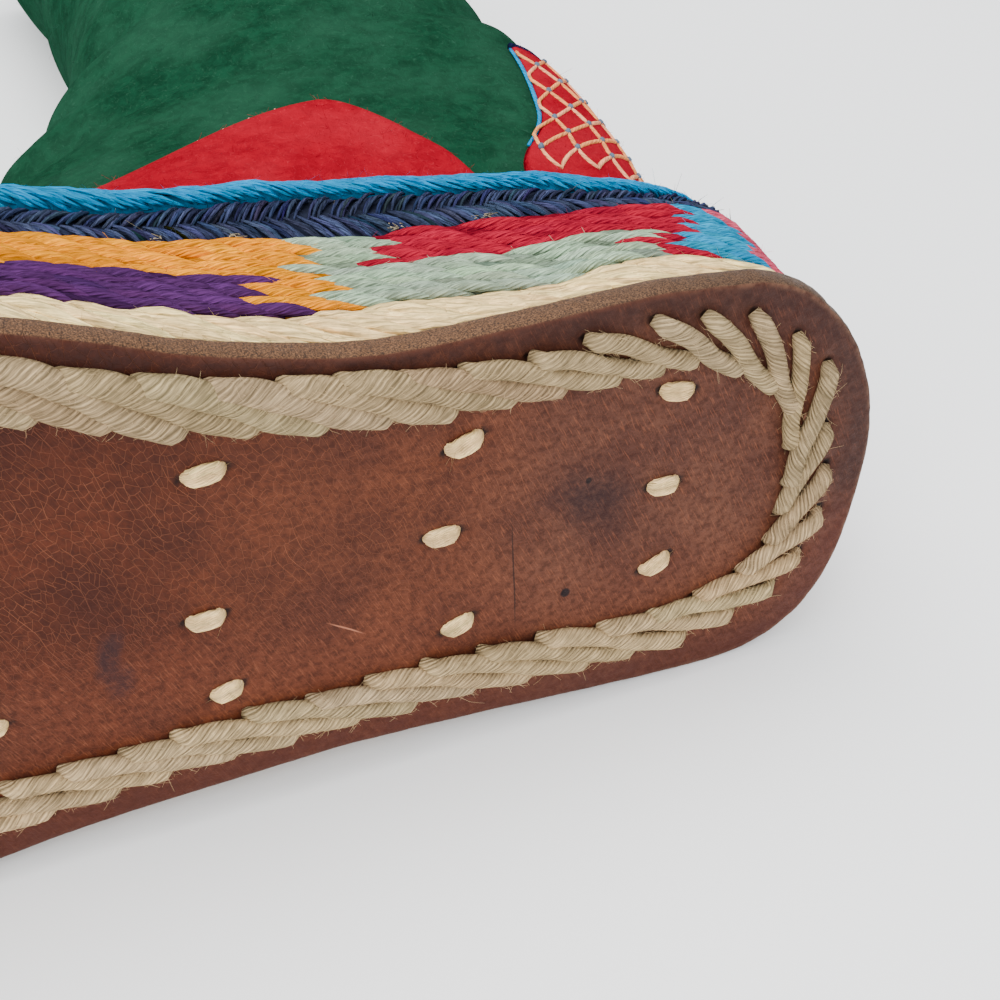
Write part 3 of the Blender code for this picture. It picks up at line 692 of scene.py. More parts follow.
leatherMarks = (        # place, half sizes, turn in degrees, colour, strength, softness
    ((47.5, 5.2), (10, 8), 15, srgb(34, 20, 22), 0.75, 0.9),        # dark stain on the heel
    ((44.0, 0.3), (6, 9), -20, srgb(38, 20, 20), 0.5, 0.9),
    ((116, -7.6), (2.4, 6.5), 10, srgb(40, 24, 27), 0.75, 0.7),     # dull stain at the waist
    ((114.5, -12.6), (2.6, 4.5), 0, srgb(40, 24, 27), 0.6, 0.7),
    ((57.8, -7.8), (0.16, 13.4), -7, srgb(28, 16, 14), 0.8, 0.5),   # crack, painted as a dark line: painted shade in the crack
    ((49.0, -13.5), (0.9, 1.1), 0, srgb(18, 12, 15), 0.95, 0.35),   # nail holes, painted near-black: painted shade in the holes
    ((47.8, 7.6), (0.6, 0.7), 0, srgb(20, 12, 12), 0.9, 0.4),
    ((83.0, -11.5), (3.9, 0.2), 32, srgb(170, 110, 84), 0.7, 0.6),  # pale scratch
    ((44.0, -22.3), (1.2, 1.6), 0, srgb(92, 34, 12), 0.7, 0.6),     # rust
    ((12.5, 11.6), (1.5, 1.0), 40, srgb(186, 132, 108), 0.9, 0.4),  # end of a peg
    ((25.5, -24.5), (0.5, 0.6), 0, srgb(16, 22, 44), 0.95, 0.4),
)


def leatherFinish():
    finish = Finish("wornLeather", **{"Specular IOR Level": 0.12})
    mix, step, noise, times, dot = finish.mix, finish.step, finish.noise, finish.times, finish.dot
    place = finish.attribute("boot", "Vector")
    u, w = dot(place, (1, 0, 0)), dot(place, (0, 1, 0))
    drift = finish.vector("SUBTRACT", noise(place, 0.16, output="Color"), (0.5, 0.5, 0.5))
    slope = np.array(((0.48, 0.88, 0), (0.88, -0.48, 0)))      # along and across the slanting grain

    def slanted(spots, long, short):
        return finish.combine(dot(spots, slope[0] / long), dot(spots, slope[1] / short))

    fine = finish.cells(slanted(finish.vector("ADD", place, finish.scaled(drift, 1.6)), 1.7, 0.95))
    ripple = finish.timesPlus(noise(place, 0.07, 1), 4.0, dot(place, slope[1] / 1.45))
    streak = finish.maths("ABSOLUTE", finish.maths("SUBTRACT", finish.maths("FRACT", ripple), 0.5))
    broken = step(noise(slanted(place, 7, 1.2), 1.0, 2), 0.44, 0.54)
    broad = times(step(streak, 0.0, 0.05, 1.0, 0.0), broken)
    upperHalf = step(w, -14, 6)
    reach = times(step(u, 35, 120, 0.12, 1.0), step(noise(place, 0.09, 3), 0.3, 0.62, 0.4, 1.0))
    lines = times(finish.maths("MAXIMUM", step(fine, 0.0, 0.06, 0.5, 0.0), broad), reach)
    lines = times(lines, finish.timesPlus(upperHalf, 0.75, 0.25))
    heelward, toeward = step(u, 48, 72), step(u, 80, 116)
    dark = mix(toeward, mix(heelward, srgb(67, 36, 26), srgb(67, 31, 18)), srgb(53, 19, 8))
    light = mix(toeward, mix(heelward, srgb(89, 53, 38), srgb(93, 48, 28)), srgb(77, 33, 15))
    base = mix(step(noise(place, 0.055, 4, 0.6), 0.32, 0.68), dark, light)
    base = mix(step(w, -20, 0, 0.4, 0.0), base, srgb(100, 52, 33))
    mottle = noise(place, 0.8, 5, 0.7)
    base = mix(step(mottle, 0.38, 0.66, 0, 0.62), base, srgb(44, 20, 15))
    specks = step(noise(place, 2.6, 3, 0.6), 0.60, 0.72, 0, 0.5)
    base = mix(times(specks, step(u, 30, 110, 1.0, 0.45)), base, srgb(34, 17, 14))
    where = finish.maths("MAXIMUM", step(u, 60, 100, 1.0, 0.2), step(upperHalf, 0, 1, 1.0, 0.2))
    brushed = times(step(noise(slanted(place, 2.6, 0.22), 1.0, 2), 0.54, 0.7, 0.0, 0.36), where)
    base = mix(brushed, base, srgb(134, 78, 52))
    base = mix(times(lines, 0.72), base, srgb(156, 94, 66))
    for at, half, turn, colour, strength, soft in leatherMarks:
        c, s = np.cos(np.radians(turn)), np.sin(np.radians(turn))
        off = finish.vector("ADD", place, finish.scaled(drift, min(half) * 0.9))
        off = finish.vector("SUBTRACT", off, (*at, 0))
        long, short = dot(off, (c / half[0], s / half[0], 0)), dot(off, (-s / half[1], c / half[1], 0))
        share = step(finish.size(finish.combine(long, short)), 1 - soft, 1.0, strength, 0.0)
        if min(half) > 2:
            share = times(share, step(mottle, 0.25, 0.6, 0.45, 1.0))
        base = mix(share, base, colour)
    rim, face, pit = (finish.attribute(name) for name in ("rim", "face", "pit"))
    dirt = noise(place, 0.35, 4, 0.7)
    grime = times(step(rim, 2.0, 8.5, 0.9, 0.0), step(dirt, 0.3, 0.7, 0.55, 1.0))
    base = mix(grime, base, mix(step(w, -12, 0), srgb(66, 32, 25), srgb(43, 23, 20)))
    worn = times(step(rim, 0.0, 1.4, 0.8, 0.0), step(dirt, 0.35, 0.65))
    base = mix(worn, base, mix(step(u, 15, 45), srgb(122, 88, 68), srgb(82, 48, 36)))
    fibre = noise(finish.vector("MULTIPLY", place, (1.0, 1.0, 1.4)), 4.2, 3, 0.6)
    tan = mix(step(u, 20, 75), srgb(92, 69, 52), srgb(112, 80, 56))
    cut = mix(step(fibre, 0.38, 0.66), srgb(50, 36, 27), tan)
    base = mix(step(face, 0.90, 0.985, 1.0, 0.0), base, cut)
    # near-black in and round the holes: painted shade
    base = mix(step(pit, 0.3, 0.85, 0.0, 0.92), base, srgb(16, 9, 8))
    finish.shade("Base Color", base)
    finish.shade("Roughness", step(mottle, 0.3, 0.75, 0.48, 0.72))
    height = finish.timesPlus(lines, -0.6, times(mottle, 0.5))
    finish.relief(finish.timesPlus(noise(place, 3.5, 3), 0.25, height), 0.22 * mm)
    return finish.material


borderSpots, borderRise, borderHalf = borderPaths()
borderEnds = borderSpots[:, (1, -2), :2]
borderEnds = borderEnds + borderSet["pitShift"] * unit(borderEnds - borderSpots[:, (3, -4), :2])
addLeather(borderEnds.reshape(-1, 2))

# plied cord stitches round the tread
looseFibre = fuzzFinish("looseFibre")


def addBorderCords():
    rng = np.random.default_rng(borderSet["seed"] + 1)
    count = len(borderSpots)
    size = borderHalf * (1 + rng.normal(0, 0.04, (count, 1))) * (0.66 + 0.34 * borderRise)
    across = np.cross(unit(np.gradient(borderSpots, axis=1)), np.array((0, 0, 1.0)))
    lobes = (borderSet[key] for key in ("lobes", "lobeDepth", "lobeTurn"))
    form = strandForm(borderSpots, across, size, size * borderSet["flat"], borderSet["sides"], *lobes)
    tints = dyed(borderSet["colour"], count, rng, 0.06)
    # the cords on the outer half are painted lighter: painted light
    tints *= np.where(borderSpots[:, :1, 1] < 0, borderSet["outerPaintedLight"], 1.0)
    finish = yarnFinish("hempCord", plies=9, pitch=0.85, ridge=0.34, grooveShade=0.36, streaks=0.5)
    addStrands("borderCords", [(form, tints)], finish, ["border_stitching"])
    below = everywhere((0, 0, -1), borderSpots)
    fuzz = fuzzForm(form, tints * 1.1, below, borderSet["fuzz"], 1.0, 0.5, rng, rings=3)
    addStrands("borderFuzz", [fuzz], looseFibre)


def addTacks():     # short flat bundles of cord that come out of one hole and go down another
    rng = np.random.default_rng(tackSet["seed"])
    ends = tackEnds().reshape(-1, 2, 2)
    strands, rings, half = tackSet["strands"], tackSet["rings"], tackSet["half"]
    paths, across = [], []
    t = 0.5 - 0.5 * np.cos(np.pi * np.linspace(0, 1, rings))
    bow = 1 - 0.3 * (2 * t - 1) ** 2
    for (first, last), place in zip(ends, tackSet["places"]):
        aim = (last - first) / np.linalg.norm(last - first)
        beside = np.array((-aim[1], aim[0]))
        rise = fade(np.minimum(t, 1 - t) * place[3] / 0.7) ** 0.7
        for k in range(strands):
            shift = (k / (strands - 1) - 0.5) * 2 * half * 0.78 + rng.normal(0, 0.06)
            run = 0.5 + (t - 0.5) * 0.95 * np.sqrt(1 - 0.6 * min(1, (shift / half) ** 2))
            plan = first + np.outer(run, last - first) + np.outer(shift * bow, beside)
            top = tackSet["proud"] * (0.85 - 0.4 * (shift / half) ** 4)
            paths.append(raised(plan, tackSet["sink"] - (tackSet["sink"] + top) * rise))
            across.append(np.tile((*beside, 0), (rings, 1)))
    paths, across = np.array(paths), np.array(across)
    wide = np.full(paths.shape[:2], tackSet["thread"])
    form = strandForm(paths, across, wide, wide * 0.8, tackSet["sides"])
    darker = 0.7 + 0.3 * np.abs(np.linspace(-1, 1, strands))        # in the middle of each bundle
    tints = dyed(tackSet["colour"], len(paths), rng, 0.06) * np.tile(darker, len(ends))[:, None]
    fuzz = fuzzForm(form, tints, everywhere((0, 0, -1), paths), tackSet["fuzz"], 0.8, 0.5, rng)
    finish = yarnFinish("tackCord", plies=5, pitch=1.6, ridge=0.2, grooveShade=0.25, streaks=0.35)
    addStrands("tackStitches", [(form, tints), fuzz], finish)


addBorderCords()
addTacks()

# side band: cream cords, woven rows, navy braid and whipped edge, from the leather up
bandRun = Run(lambda angle: bandPoint(angle, np.full_like(angle, 21.5), np.zeros_like(angle)))


def bandOutward(angle):
    inward = edgeFrame(angle)[1]
    return np.stack((-inward[..., 0], -inward[..., 1], np.zeros_like(angle)), -1)


def bandForm(settings, at, height, depth, wide):        # strands laid on the band, and which way is out
    angle = bandRun.angle(at)
    paths = bandPoint(angle, height, depth)
    deep = wide * settings["deep"] / settings["half"]
    return strandForm(paths, everywhere((0, 0, 1), paths), wide, deep, settings["sides"]), bandOutward(angle)


def coreFinish(name):
    finish = Finish(name, **{"Roughness": 1.0, "Specular IOR Level": 0.1})
    # painted shade, darker still in patches
    finish.dye(finish.step(finish.noise(finish.spot(), 900, 3), 0.3, 0.7, 0.55, 0.95))
    return finish.material


shadedCore = coreFinish("shadedCore")


def addCore(name, columns, corners, tint):        # ring behind the strands, painted dark as painted shade in the gaps between them: corners are height, depth
    heights, depths = np.array(corners, float).T
    angle = bandRun.angle(np.arange(columns) * bandRun.length / columns)

    def place(i, j):
        k, c = i % columns, j % len(corners)
        spots = bandPoint(angle[k], heights[c], depths[c])
        return spots, {"dye": tint(bandRun.at(angle[k]), heights[c])}

    addPiece(name, gridMesh(name, columns, len(corners), place), shadedCore)


# used only for the cores: one even dark colour, painted shade
def evenCoreShade(colour):
    return lambda at, height: np.tile(colour, (len(at), 1))


creamSet = {"low": 4.2, "high": 12.6, "pitch": 6.0, "length": 21, "plies": 3, "rings": 11, "sides": 7,
            "half": 1.12, "deep": 1.1, "fuzz": 6000, "colour": srgb(255, 220, 154), "seed": 31,
            "core": ((4.5, 1.6), (8.4, 1.4), (12.5, 1.6), (12.5, 5.0), (4.5, 5.0))}


def addCreamCords():        # thick loose strands that slant down towards the heel
    rng = np.random.default_rng(creamSet["seed"])
    plies, colour = creamSet["plies"], creamSet["colour"]
    bundles = round(bandRun.length / creamSet["pitch"])
    count = bundles * plies
    ply = np.tile(np.arange(plies), bundles)[:, None]
    middle = np.repeat(np.arange(bundles) * bandRun.length / bundles, plies)[:, None]
    t = np.linspace(0, 1, creamSet["rings"])[None]
    reach = creamSet["length"] * rng.uniform(0.88, 1.12, (count, 1))
    at = middle + (0.5 - t) * reach + (ply - 1) * 2.0 + rng.normal(0, 0.8, (count, 1))
    slope = (creamSet["high"] - creamSet["low"]) - 2 * creamSet["half"] * 0.8
    mid = (creamSet["high"] + creamSet["low"]) / 2
    height = mid + slope * (0.5 - fade(t)) + rng.normal(0, 0.25, (count, 1))
    height = height + 0.35 * np.sin(5 * t + ply * 2.1)
    taper = np.sin(np.pi * np.clip(t, 0.012, 0.988)) ** 0.55
    depth = 1.9 - 1.3 * taper + rng.normal(0, 0.32, (count, 1)) + 0.25 * np.cos(9 * t + ply * 2.1)
    wide = creamSet["half"] * taper * rng.uniform(0.85, 1.1, (count, 1))
    form, outward = bandForm(creamSet, at, height, depth, wide)
    tints = dyed(colour, count, rng, 0.05)
    fuzz = fuzzForm(form, tints, outward, creamSet["fuzz"], 0.9, 0.3, rng)
    finish = yarnFinish("creamCord", plies=5, pitch=5.5, ridge=0.3, grooveShade=0.3, streaks=0.45, fine=16)
    addStrands("creamCords", [(form, tints), fuzz], finish, ["base_cords"])
    # the core is a darker copy of the cream: painted shade behind the cords
    addCore("creamCore", 300, creamSet["core"], evenCoreShade(colour * (0.6, 0.5, 0.4)))


addCreamCords()

wovenSet = {"low": 12.6, "high": 30.4, "rows": 10, "pitch": 5.4, "length": 13.0, "half": 0.88, "deep": 0.9,
            "slant": 0.5, "rings": 7, "sides": 6, "sunk": 0.16, "fuzz": 9000, "seed": 41, "units": 11,
            "seam": 80.4, "leads": (0.18, 0.1, 0.175), "tails": (0.148, 0.16, 0.81), "spread": 3.0,
            "lean": 1.9, "footLean": 0.9, "leanPlace": (28, 22),
            "pairs": (      # lower and upper colour of a unit
                (srgb(156, 178, 152), srgb(162, 26, 50)), (srgb(80, 43, 92), srgb(236, 146, 0)),
                (srgb(24, 144, 186), srgb(206, 84, 108))),
            "order": (0, 1, 2, 0, 1, 2, 0, 1, 2, 1, 2)}


def wovenColour(at, row, shift):        # units run round the band; joins step back and forth from row to row
    unitLength = bandRun.length / wovenSet["units"]
    start = bandRun.at(heelAngle(wovenSet["seam"]))
    station, reach = wovenSet["leanPlace"]
    nearHeel = np.exp(-((at - bandRun.at(heelAngle(station))) / reach) ** 2)
    lean = (wovenSet["lean"] + wovenSet["footLean"] * np.minimum(row - 4.5, 0)) * nearHeel
    place = (start - (at + shift + lean)) / unitLength
    whole = np.floor(place).astype(int)
    part = place - whole
    kind = np.array(wovenSet["order"])[(-whole) % wovenSet["units"]]
    lead, tail = np.array(wovenSet["leads"])[kind], np.array(wovenSet["tails"])[kind]
    upper = np.where(row >= wovenSet["rows"] // 2, part > lead, part > 1 - tail)
    return np.array(wovenSet["pairs"])[kind, upper.astype(int)]


def addWovenRows():     # slanted spindles of yarn, row over row
    rng = np.random.default_rng(wovenSet["seed"])
    rows, low = wovenSet["rows"], wovenSet["low"]
    each = round(bandRun.length / wovenSet["pitch"])
    count = rows * each
    row = np.repeat(np.arange(rows), each)
    step = (wovenSet["high"] - low) / rows
    middle = np.tile(np.arange(each) * bandRun.length / each, rows) + row * 1.9 + rng.normal(0, 0.45, count)
    t = np.linspace(0, 1, wovenSet["rings"])[None]
    at = middle[:, None] + (0.5 - t) * wovenSet["length"] * rng.uniform(0.86, 1.14, (count, 1))
    level = low + (row + 0.5) * step + rng.normal(0, 0.1, count)
    level = level + 0.3 * ripples(middle, row * 3.0, 28, 43)
    height = level[:, None] + step * wovenSet["slant"] * 2 * (0.5 - t) * rng.uniform(0.7, 1.25, (count, 1))
    taper = np.sin(np.pi * np.clip(t, 0.03, 0.97)) ** 0.6
    depth = 1.35 - 1.15 * taper + rng.normal(0, 0.1, (count, 1)) + 0.3 * (t - 0.5)
    sunk = rng.random((count, 1)) < wovenSet["sunk"]        # lower than the rest, and painted darker as painted shade, seen as dark slits
    wide = wovenSet["half"] * (0.16 + 0.84 * taper) * rng.uniform(0.88, 1.1, (count, 1))
    form, outward = bandForm(wovenSet, at, height, depth + 0.55 * sunk, wide)
    shift = np.where(row % 2 == 0, 1, -1) * 0.5 * wovenSet["spread"] + rng.normal(0, 0.5, count)
    # sunk strands at half brightness: painted shade in the slits
    tints = varied(wovenColour(middle, row, shift), rng, 0.09) * np.where(sunk, 0.5, 1.0)
    finish = yarnFinish("wovenYarn", plies=9, pitch=1.4, ridge=0.2, grooveShade=0.16, streaks=0.5)
    addStrands("wovenRows", [(form, tints)], finish, ["woven_band"])
    paler = np.clip(tints * 1.15 + 0.01, 0, 1)
    fuzz = fuzzForm(form, paler, outward, wovenSet["fuzz"], 0.7, 0.3, rng)
    addStrands("wovenFuzz", [fuzz], looseFibre)

    def coreShade(place, level):
        line = np.clip(((level - low) / step).astype(int), 0, rows - 1)
        # a darker copy of the rows' colour: painted shade behind the strands
        return wovenColour(place, line, 0.0) * 0.4

    corners = [(low + 0.3 + 17.3 * k / 12, 1.25) for k in range(13)] + [(30.2, 5.0), (12.9, 5.0)]
    addCore("wovenCore", 420, corners, coreShade)


addWovenRows()

braidSet = {"low": 30.4, "high": 39.4, "pitch": 0.85, "lengths": (4.4, 3.6), "half": 0.36, "deep": 0.4,
            "rings": 6, "sides": 5, "fuzz": 8000, "paleFuzz": 80, "tufts": (101, 90, 66.5, 53.5),
            "tuftHairs": 9, "tuftLevel": 31.3, "seed": 51,
            "colour": srgb(60, 68, 98), "pale": srgb(214, 200, 170),
            "core": ((30.6, 1.1), (34.6, 0.7), (39.3, 1.2), (39.3, 5.0), (30.6, 5.0))}


def addNavyBraid():     # two rows of slanted strands that meet in arrow heads pointing to the toe
    rng = np.random.default_rng(braidSet["seed"])
    each = round(bandRun.length / braidSet["pitch"])
    count = 2 * each
    upper = np.repeat((1.0, -1.0), each)[:, None]
    middle = np.tile(np.arange(each) * bandRun.length / each, 2)[:, None] + 0.9 * (upper > 0)
    t = np.linspace(0, 1, braidSet["rings"])[None]
    reach = (0.5 - t) * np.where(upper > 0, *braidSet["lengths"])
    at = middle + reach * rng.uniform(0.85, 1.15, (count, 1)) + rng.normal(0, 0.3, (count, 1))
    mid, half = (braidSet["low"] + braidSet["high"]) / 2 - 0.3, (braidSet["high"] - braidSet["low"]) / 2
    height = mid + upper * (half * (0.95 * t ** 0.85 - 0.03)) + rng.normal(0, 0.2, (count, 1))
    taper = np.sin(np.pi * np.clip(t, 0.04, 0.96)) ** 0.65
    depth = 0.7 - 0.9 * taper + 0.5 * t + rng.normal(0, 0.18, (count, 1))
    wide = braidSet["half"] * (0.25 + 0.75 * taper) * rng.uniform(0.85, 1.1, (count, 1))
    form, outward = bandForm(braidSet, at, height, depth, wide)
    tints = dyed(braidSet["colour"], count, rng, 0.28)
    fuzz = fuzzForm(form, tints * 1.4, outward, braidSet["fuzz"], 1.1, 0.2, rng, 0.036)
    pale = np.tile(braidSet["pale"], (count, 1))
    stray = fuzzForm(form, pale, outward, braidSet["paleFuzz"], 1.6, 0.3, rng, 0.045)
    spots = np.repeat([bandRun.at(heelAngle(u)) for u in braidSet["tufts"]], braidSet["tuftHairs"])
    turn = bandRun.angle(spots + rng.normal(0, 0.5, spots.size))
    level = braidSet["tuftLevel"] + rng.normal(0, 0.35, len(turn))
    roots, normals = bandPoint(turn, level, np.full(len(turn), -0.2)), bandOutward(turn)
    hairs = fibreForm(roots, normals, np.cross(normals, (0, 0, 1.0)), 0.9, 0.05, rng, 0.11)
    parts = [(form, tints), fuzz, stray, (hairs, pale[:len(turn)])]
    finish = yarnFinish("navyYarn", plies=4, pitch=3.0, ridge=0.22, grooveShade=0.25, streaks=0.65, fine=22)
    addStrands("navyBraid", parts, finish, ["seam_braid"])
    # a darker copy of the navy: painted shade behind the braid
    addCore("braidCore", 300, braidSet["core"], evenCoreShade(braidSet["colour"] * 0.35))


addNavyBraid()

edgeSet = {"low": 39.4, "high": 43.0, "pitch": 0.56, "reach": 17.0, "bundle": 7, "half": 0.3, "deep": 2.35,
           "rings": 8, "sides": 5, "fuzz": 1800, "colour": srgb(0, 132, 184), "seed": 61}


def addWhippedEdge():       # fine threads laid over the edge cord, slanting down towards the heel
    rng = np.random.default_rng(edgeSet["seed"])
    count = round(bandRun.length / edgeSet["pitch"])
    thread = np.arange(count)
    middle = (thread * bandRun.length / count)[:, None]
    t = np.linspace(0, 1, edgeSet["rings"])[None]
    radius, deep = (edgeSet["high"] - edgeSet["low"]) / 2 - 0.15, edgeSet["deep"]
    level = edgeSet["low"] + 0.3 + radius
    place = (thread % edgeSet["bundle"])[:, None] / (edgeSet["bundle"] - 1)
    swing = np.radians(164 + 40 * place + rng.normal(0, 7, (count, 1)))
    turn = np.radians(118) - swing * t      # over the top, down the face
    at = middle + (0.5 - t) * edgeSet["reach"] * rng.uniform(0.92, 1.08, (count, 1)) + 0.5 * (place - 0.5) * t
    proud = radius + 0.12 + 0.1 * np.sin(np.pi * place) + 0.08 * rng.normal(0, 1, (count, 1))
    sink = 0.9 * fade((t - 0.86) / 0.14) + 0.7 * fade((0.12 - t) / 0.12)
    depth = deep - (proud - sink) * np.cos(turn) * deep / radius - 0.5 * t
    angle = bandRun.angle(at)
    paths = bandPoint(angle, level + (proud - sink) * np.sin(turn), depth)
    off = paths - bandPoint(angle, np.full_like(at, level), np.full_like(at, deep))
    taper = 0.45 + 0.55 * np.sin(np.pi * np.clip(t, 0.03, 0.97)) ** 0.5
    wide = edgeSet["half"] * taper * np.ones((count, 1))
    across = np.cross(unit(np.gradient(paths, axis=1)), off)
    form = strandForm(paths, across, wide, wide * 0.9, edgeSet["sides"])
    tints = dyed(edgeSet["colour"], count, rng, 0.09)
    fuzz = fuzzForm(form, tints * 1.2, unit(off), edgeSet["fuzz"], 1.0, 0.5, rng)
    finish = yarnFinish("turquoiseThread", plies=3, pitch=2.6, ridge=0.12, grooveShade=0.2, streaks=0.25,
                        rough=0.7, fine=8)
    addStrands("whippedEdge", [(form, tints), fuzz], finish, ["edge_piping"])
    turns = np.radians(np.arange(0, 360, 36))
    corners = np.stack((level + (radius - 0.1) * np.sin(turns), deep - (deep - 0.1) * np.cos(turns)), -1)
    # a darker copy of the turquoise: painted shade behind the threads
    addCore("edgeCore", 300, corners, evenCoreShade(edgeSet["colour"] * 0.5))


addWhippedEdge()

# felt upper and its overlays
feltSet = {"columns": 224, "wall": 3.0, "top": 300, "innerRows": 34, "fuzz": 5500, "patchFuzz": 1100,
           "green": srgb(18, 59, 41), "red": srgb(139, 9, 29), "navy": srgb(22, 26, 54), "seed": 71}
feltCreases = (     # degrees from the heel, height, tilt in mm per degree, reach, half width, depth
    (180, 104, 0.0, 62, 5.5, 2.2), (180, 122, 0.0, 50, 5.0, 1.8), (150, 138, 0.10, 42, 5.5, 1.6),
    (215, 133, -0.08, 42, 5.5, 1.6), (40, 118, -0.12, 34, 6.0, 1.6), (320, 124, 0.10, 36, 6.0, 1.6),
    (90, 160, 0.14, 46, 8.0, 1.5), (265, 172, -0.12, 44, 8.0, 1.6), (180, 212, 0.05, 70, 11.0, 1.4),
    (60, 236, 0.10, 50, 10.0, 1.3), (300, 248, -0.10, 50, 10.0, 1.3),
)


def feltCrease(angle, height):      # soft troughs with a ridge above and below
    turn = np.degrees(angle) % 360
    total = 0.35 * ripples(np.degrees(angle) * 1.1, height, 46, 72) * fade((height - 60) / 40)
    for centre, level, tilt, reach, half, depth in feltCreases:
        off = (turn - centre + 180) % 360 - 180
        rise = (height - level - tilt * off) / half
        trough = 0.55 * np.exp(-((np.abs(rise) - 1.7) / 0.9) ** 2) - np.exp(-rise ** 2)
        total = total + depth * np.exp(-(off / reach) ** 2) * trough
    return total


def feltFrame(angle, height):       # creased felt surface and its outward direction
    nudge = 0.012
    base = upperPoint(angle, height)
    onward = upperPoint(angle + nudge, height) - upperPoint(angle - nudge, height)
    upward = upperPoint(angle, height + 0.5) - upperPoint(angle, height - 0.5)
    outward = unit(np.cross(upward, onward))
    return base + feltCrease(angle, height)[..., None] * outward, outward


def feltFinish(name, colour, shadow):
    finish = Finish(name, **{"Roughness": 0.95, "IOR": 1.03})
    spot = finish.spot()
    warped = finish.vector("ADD", spot, finish.scaled(finish.noise(spot, 240, output="Color"), 0.004))
    tufts, nap = finish.noise(warped, 330, 4, 0.7), finish.noise(warped, 1500, 3, 0.7)
    base = finish.mix(finish.step(tufts, 0.3, 0.7), shadow, colour)
    clouds = finish.step(finish.noise(spot, 60, 3), 0.35, 0.7, 0.0, 0.4)
    base = finish.mix(clouds, base, np.clip(colour * 1.35 + 0.01, 0, 1))
    net = finish.cells(finish.vector("MULTIPLY", warped, (900, 500, 700)), "3D")
    hairs = finish.times(finish.step(net, 0.0, 0.05, 0.3, 0.0), finish.step(nap, 0.45, 0.65))
    finish.shade("Base Color", finish.mix(hairs, base, np.clip(colour * 1.8 + 0.03, 0, 1)))
    finish.relief(finish.timesPlus(nap, 0.5, tufts), 0.5 * mm, 0.8)
    return finish.material


greenFelt = feltFinish("greenFelt", feltSet["green"], feltSet["green"] * 0.55)
redFelt = feltFinish("redFelt", feltSet["red"], feltSet["red"] * 0.7)
navyFelt = feltFinish("navyFelt", feltSet["navy"], feltSet["navy"] * 0.6)


def addFeltUpper():
    columns, wall, lip = feltSet["columns"], feltSet["wall"], feltSet["wall"] / 2
    angle = np.arange(columns) * 2 * np.pi / columns
    spans = ((4.5, 40, 7), (43, 76, 24), (78, 150, 36), (154, feltSet["top"] - lip, 40))
    heights = np.concatenate([np.linspace(*span) for span in spans])
    outer, outward = feltFrame(*np.meshgrid(angle, heights))
    inside = outer - wall * outward
    inside[0, :, 2], inside[-1, :, 2] = outer[0, :, 2], outer[-1, :, 2]
    turns = np.linspace(0, np.pi, 7)[1:-1, None, None]
    rim = (outer[-1] + inside[-1]) / 2 + (outer[-1] - inside[-1]) / 2 * np.cos(turns)
    rim = rim + np.array((0, 0, lip)) * np.sin(turns)
    inner = inside[np.linspace(len(heights) - 1, 0, feltSet["innerRows"]).round().astype(int)]
    loops = np.concatenate((outer, rim, inner))

    def place(i, j):
        return loops[j % len(loops), i % columns], {}

    mesh = gridMesh("feltUpper", columns, len(loops), place)
    addPiece("feltUpper", mesh, greenFelt, ["upper"])
    return outer, outward


feltGrid, feltOut = addFeltUpper()


def feltHairs(spots, outward, colour, count, seed):     # short loose hairs all over a felt face
    rng = np.random.default_rng(seed)
    i, j = rng.integers(1, spots.shape[0], count), rng.integers(1, spots.shape[1], count)
    share = rng.uniform(0, 1, (count, 1))
    roots = (1 - share) * spots[i, j] + share * spots[i - 1, j - 1]
    normals = outward[i, j]
    along = unit(np.cross(normals, rng.normal(0, 1, (count, 3))))
    return fibreForm(roots, normals, along, 1.0, 0.6, rng), dyed(colour, count, rng, 0.25)


overlaySet = {"low": 43.8, "lip": 1.5, "panelFoot": (44, 130), "panelApex": 63, "panelRise": 37.5,
              "panelSlope": 1.45, "counterFoot": 37, "counterHead": 22, "counterTop": 98, "counterDrop": 30,
              "counterReach": 0.5, "stripHalf": 1.15 * 2 * np.pi / 56, "stripGap": 0.011, "stripTop": 298.5,
              "seat": 0.15, "rounding": 1.6}


def stationAngle(u, height):        # angle at which the felt passes a station, on the inner side
    angles = np.linspace(0, np.pi, 400)
    return np.interp(u, upperPoint(angles, np.full(400, height))[:, 0], angles)


def panelEdge(share):       # angle at the foot, then angle and height at the top edge
    near, far = overlaySet["panelFoot"]
    apex, rise = overlaySet["panelApex"], np.sin(np.pi * share)
    if share < 0.5:
        head = apex + (near - apex) * (1 - 2 * share)
    else:
        head = apex + (far - apex) * (2 * share - 1)
        rise = rise ** overlaySet["panelSlope"]
    top = overlaySet["low"] + overlaySet["lip"] + overlaySet["panelRise"] * rise
    return stationAngle(near + (far - near) * share, overlaySet["low"]), stationAngle(head, top), top


def counterAngle(share, height):        # straight back edge, front edge leaning to the heel
    low, top = overlaySet["low"], overlaySet["counterTop"]
    back = overlaySet["stripHalf"] + overlaySet["stripGap"]
    foot, head = stationAngle(overlaySet["counterFoot"], low), stationAngle(overlaySet["counterHead"], top)
    front = foot + (head - foot) * (height - low) / (top - low)
    return back + (front - back) * share


def counterTop(share):      # top edge drops towards the back seam
    near = fade(share / overlaySet["counterReach"])
    return overlaySet["counterTop"] - overlaySet["counterDrop"] * (1 - near)


def counterEdge(share):
    top = counterTop(share)
    return counterAngle(share, overlaySet["low"]), counterAngle(share, top), top


def stripEdge(share):
    angle = overlaySet["stripHalf"] * (2 * share - 1)
    return angle, angle, overlaySet["stripTop"]


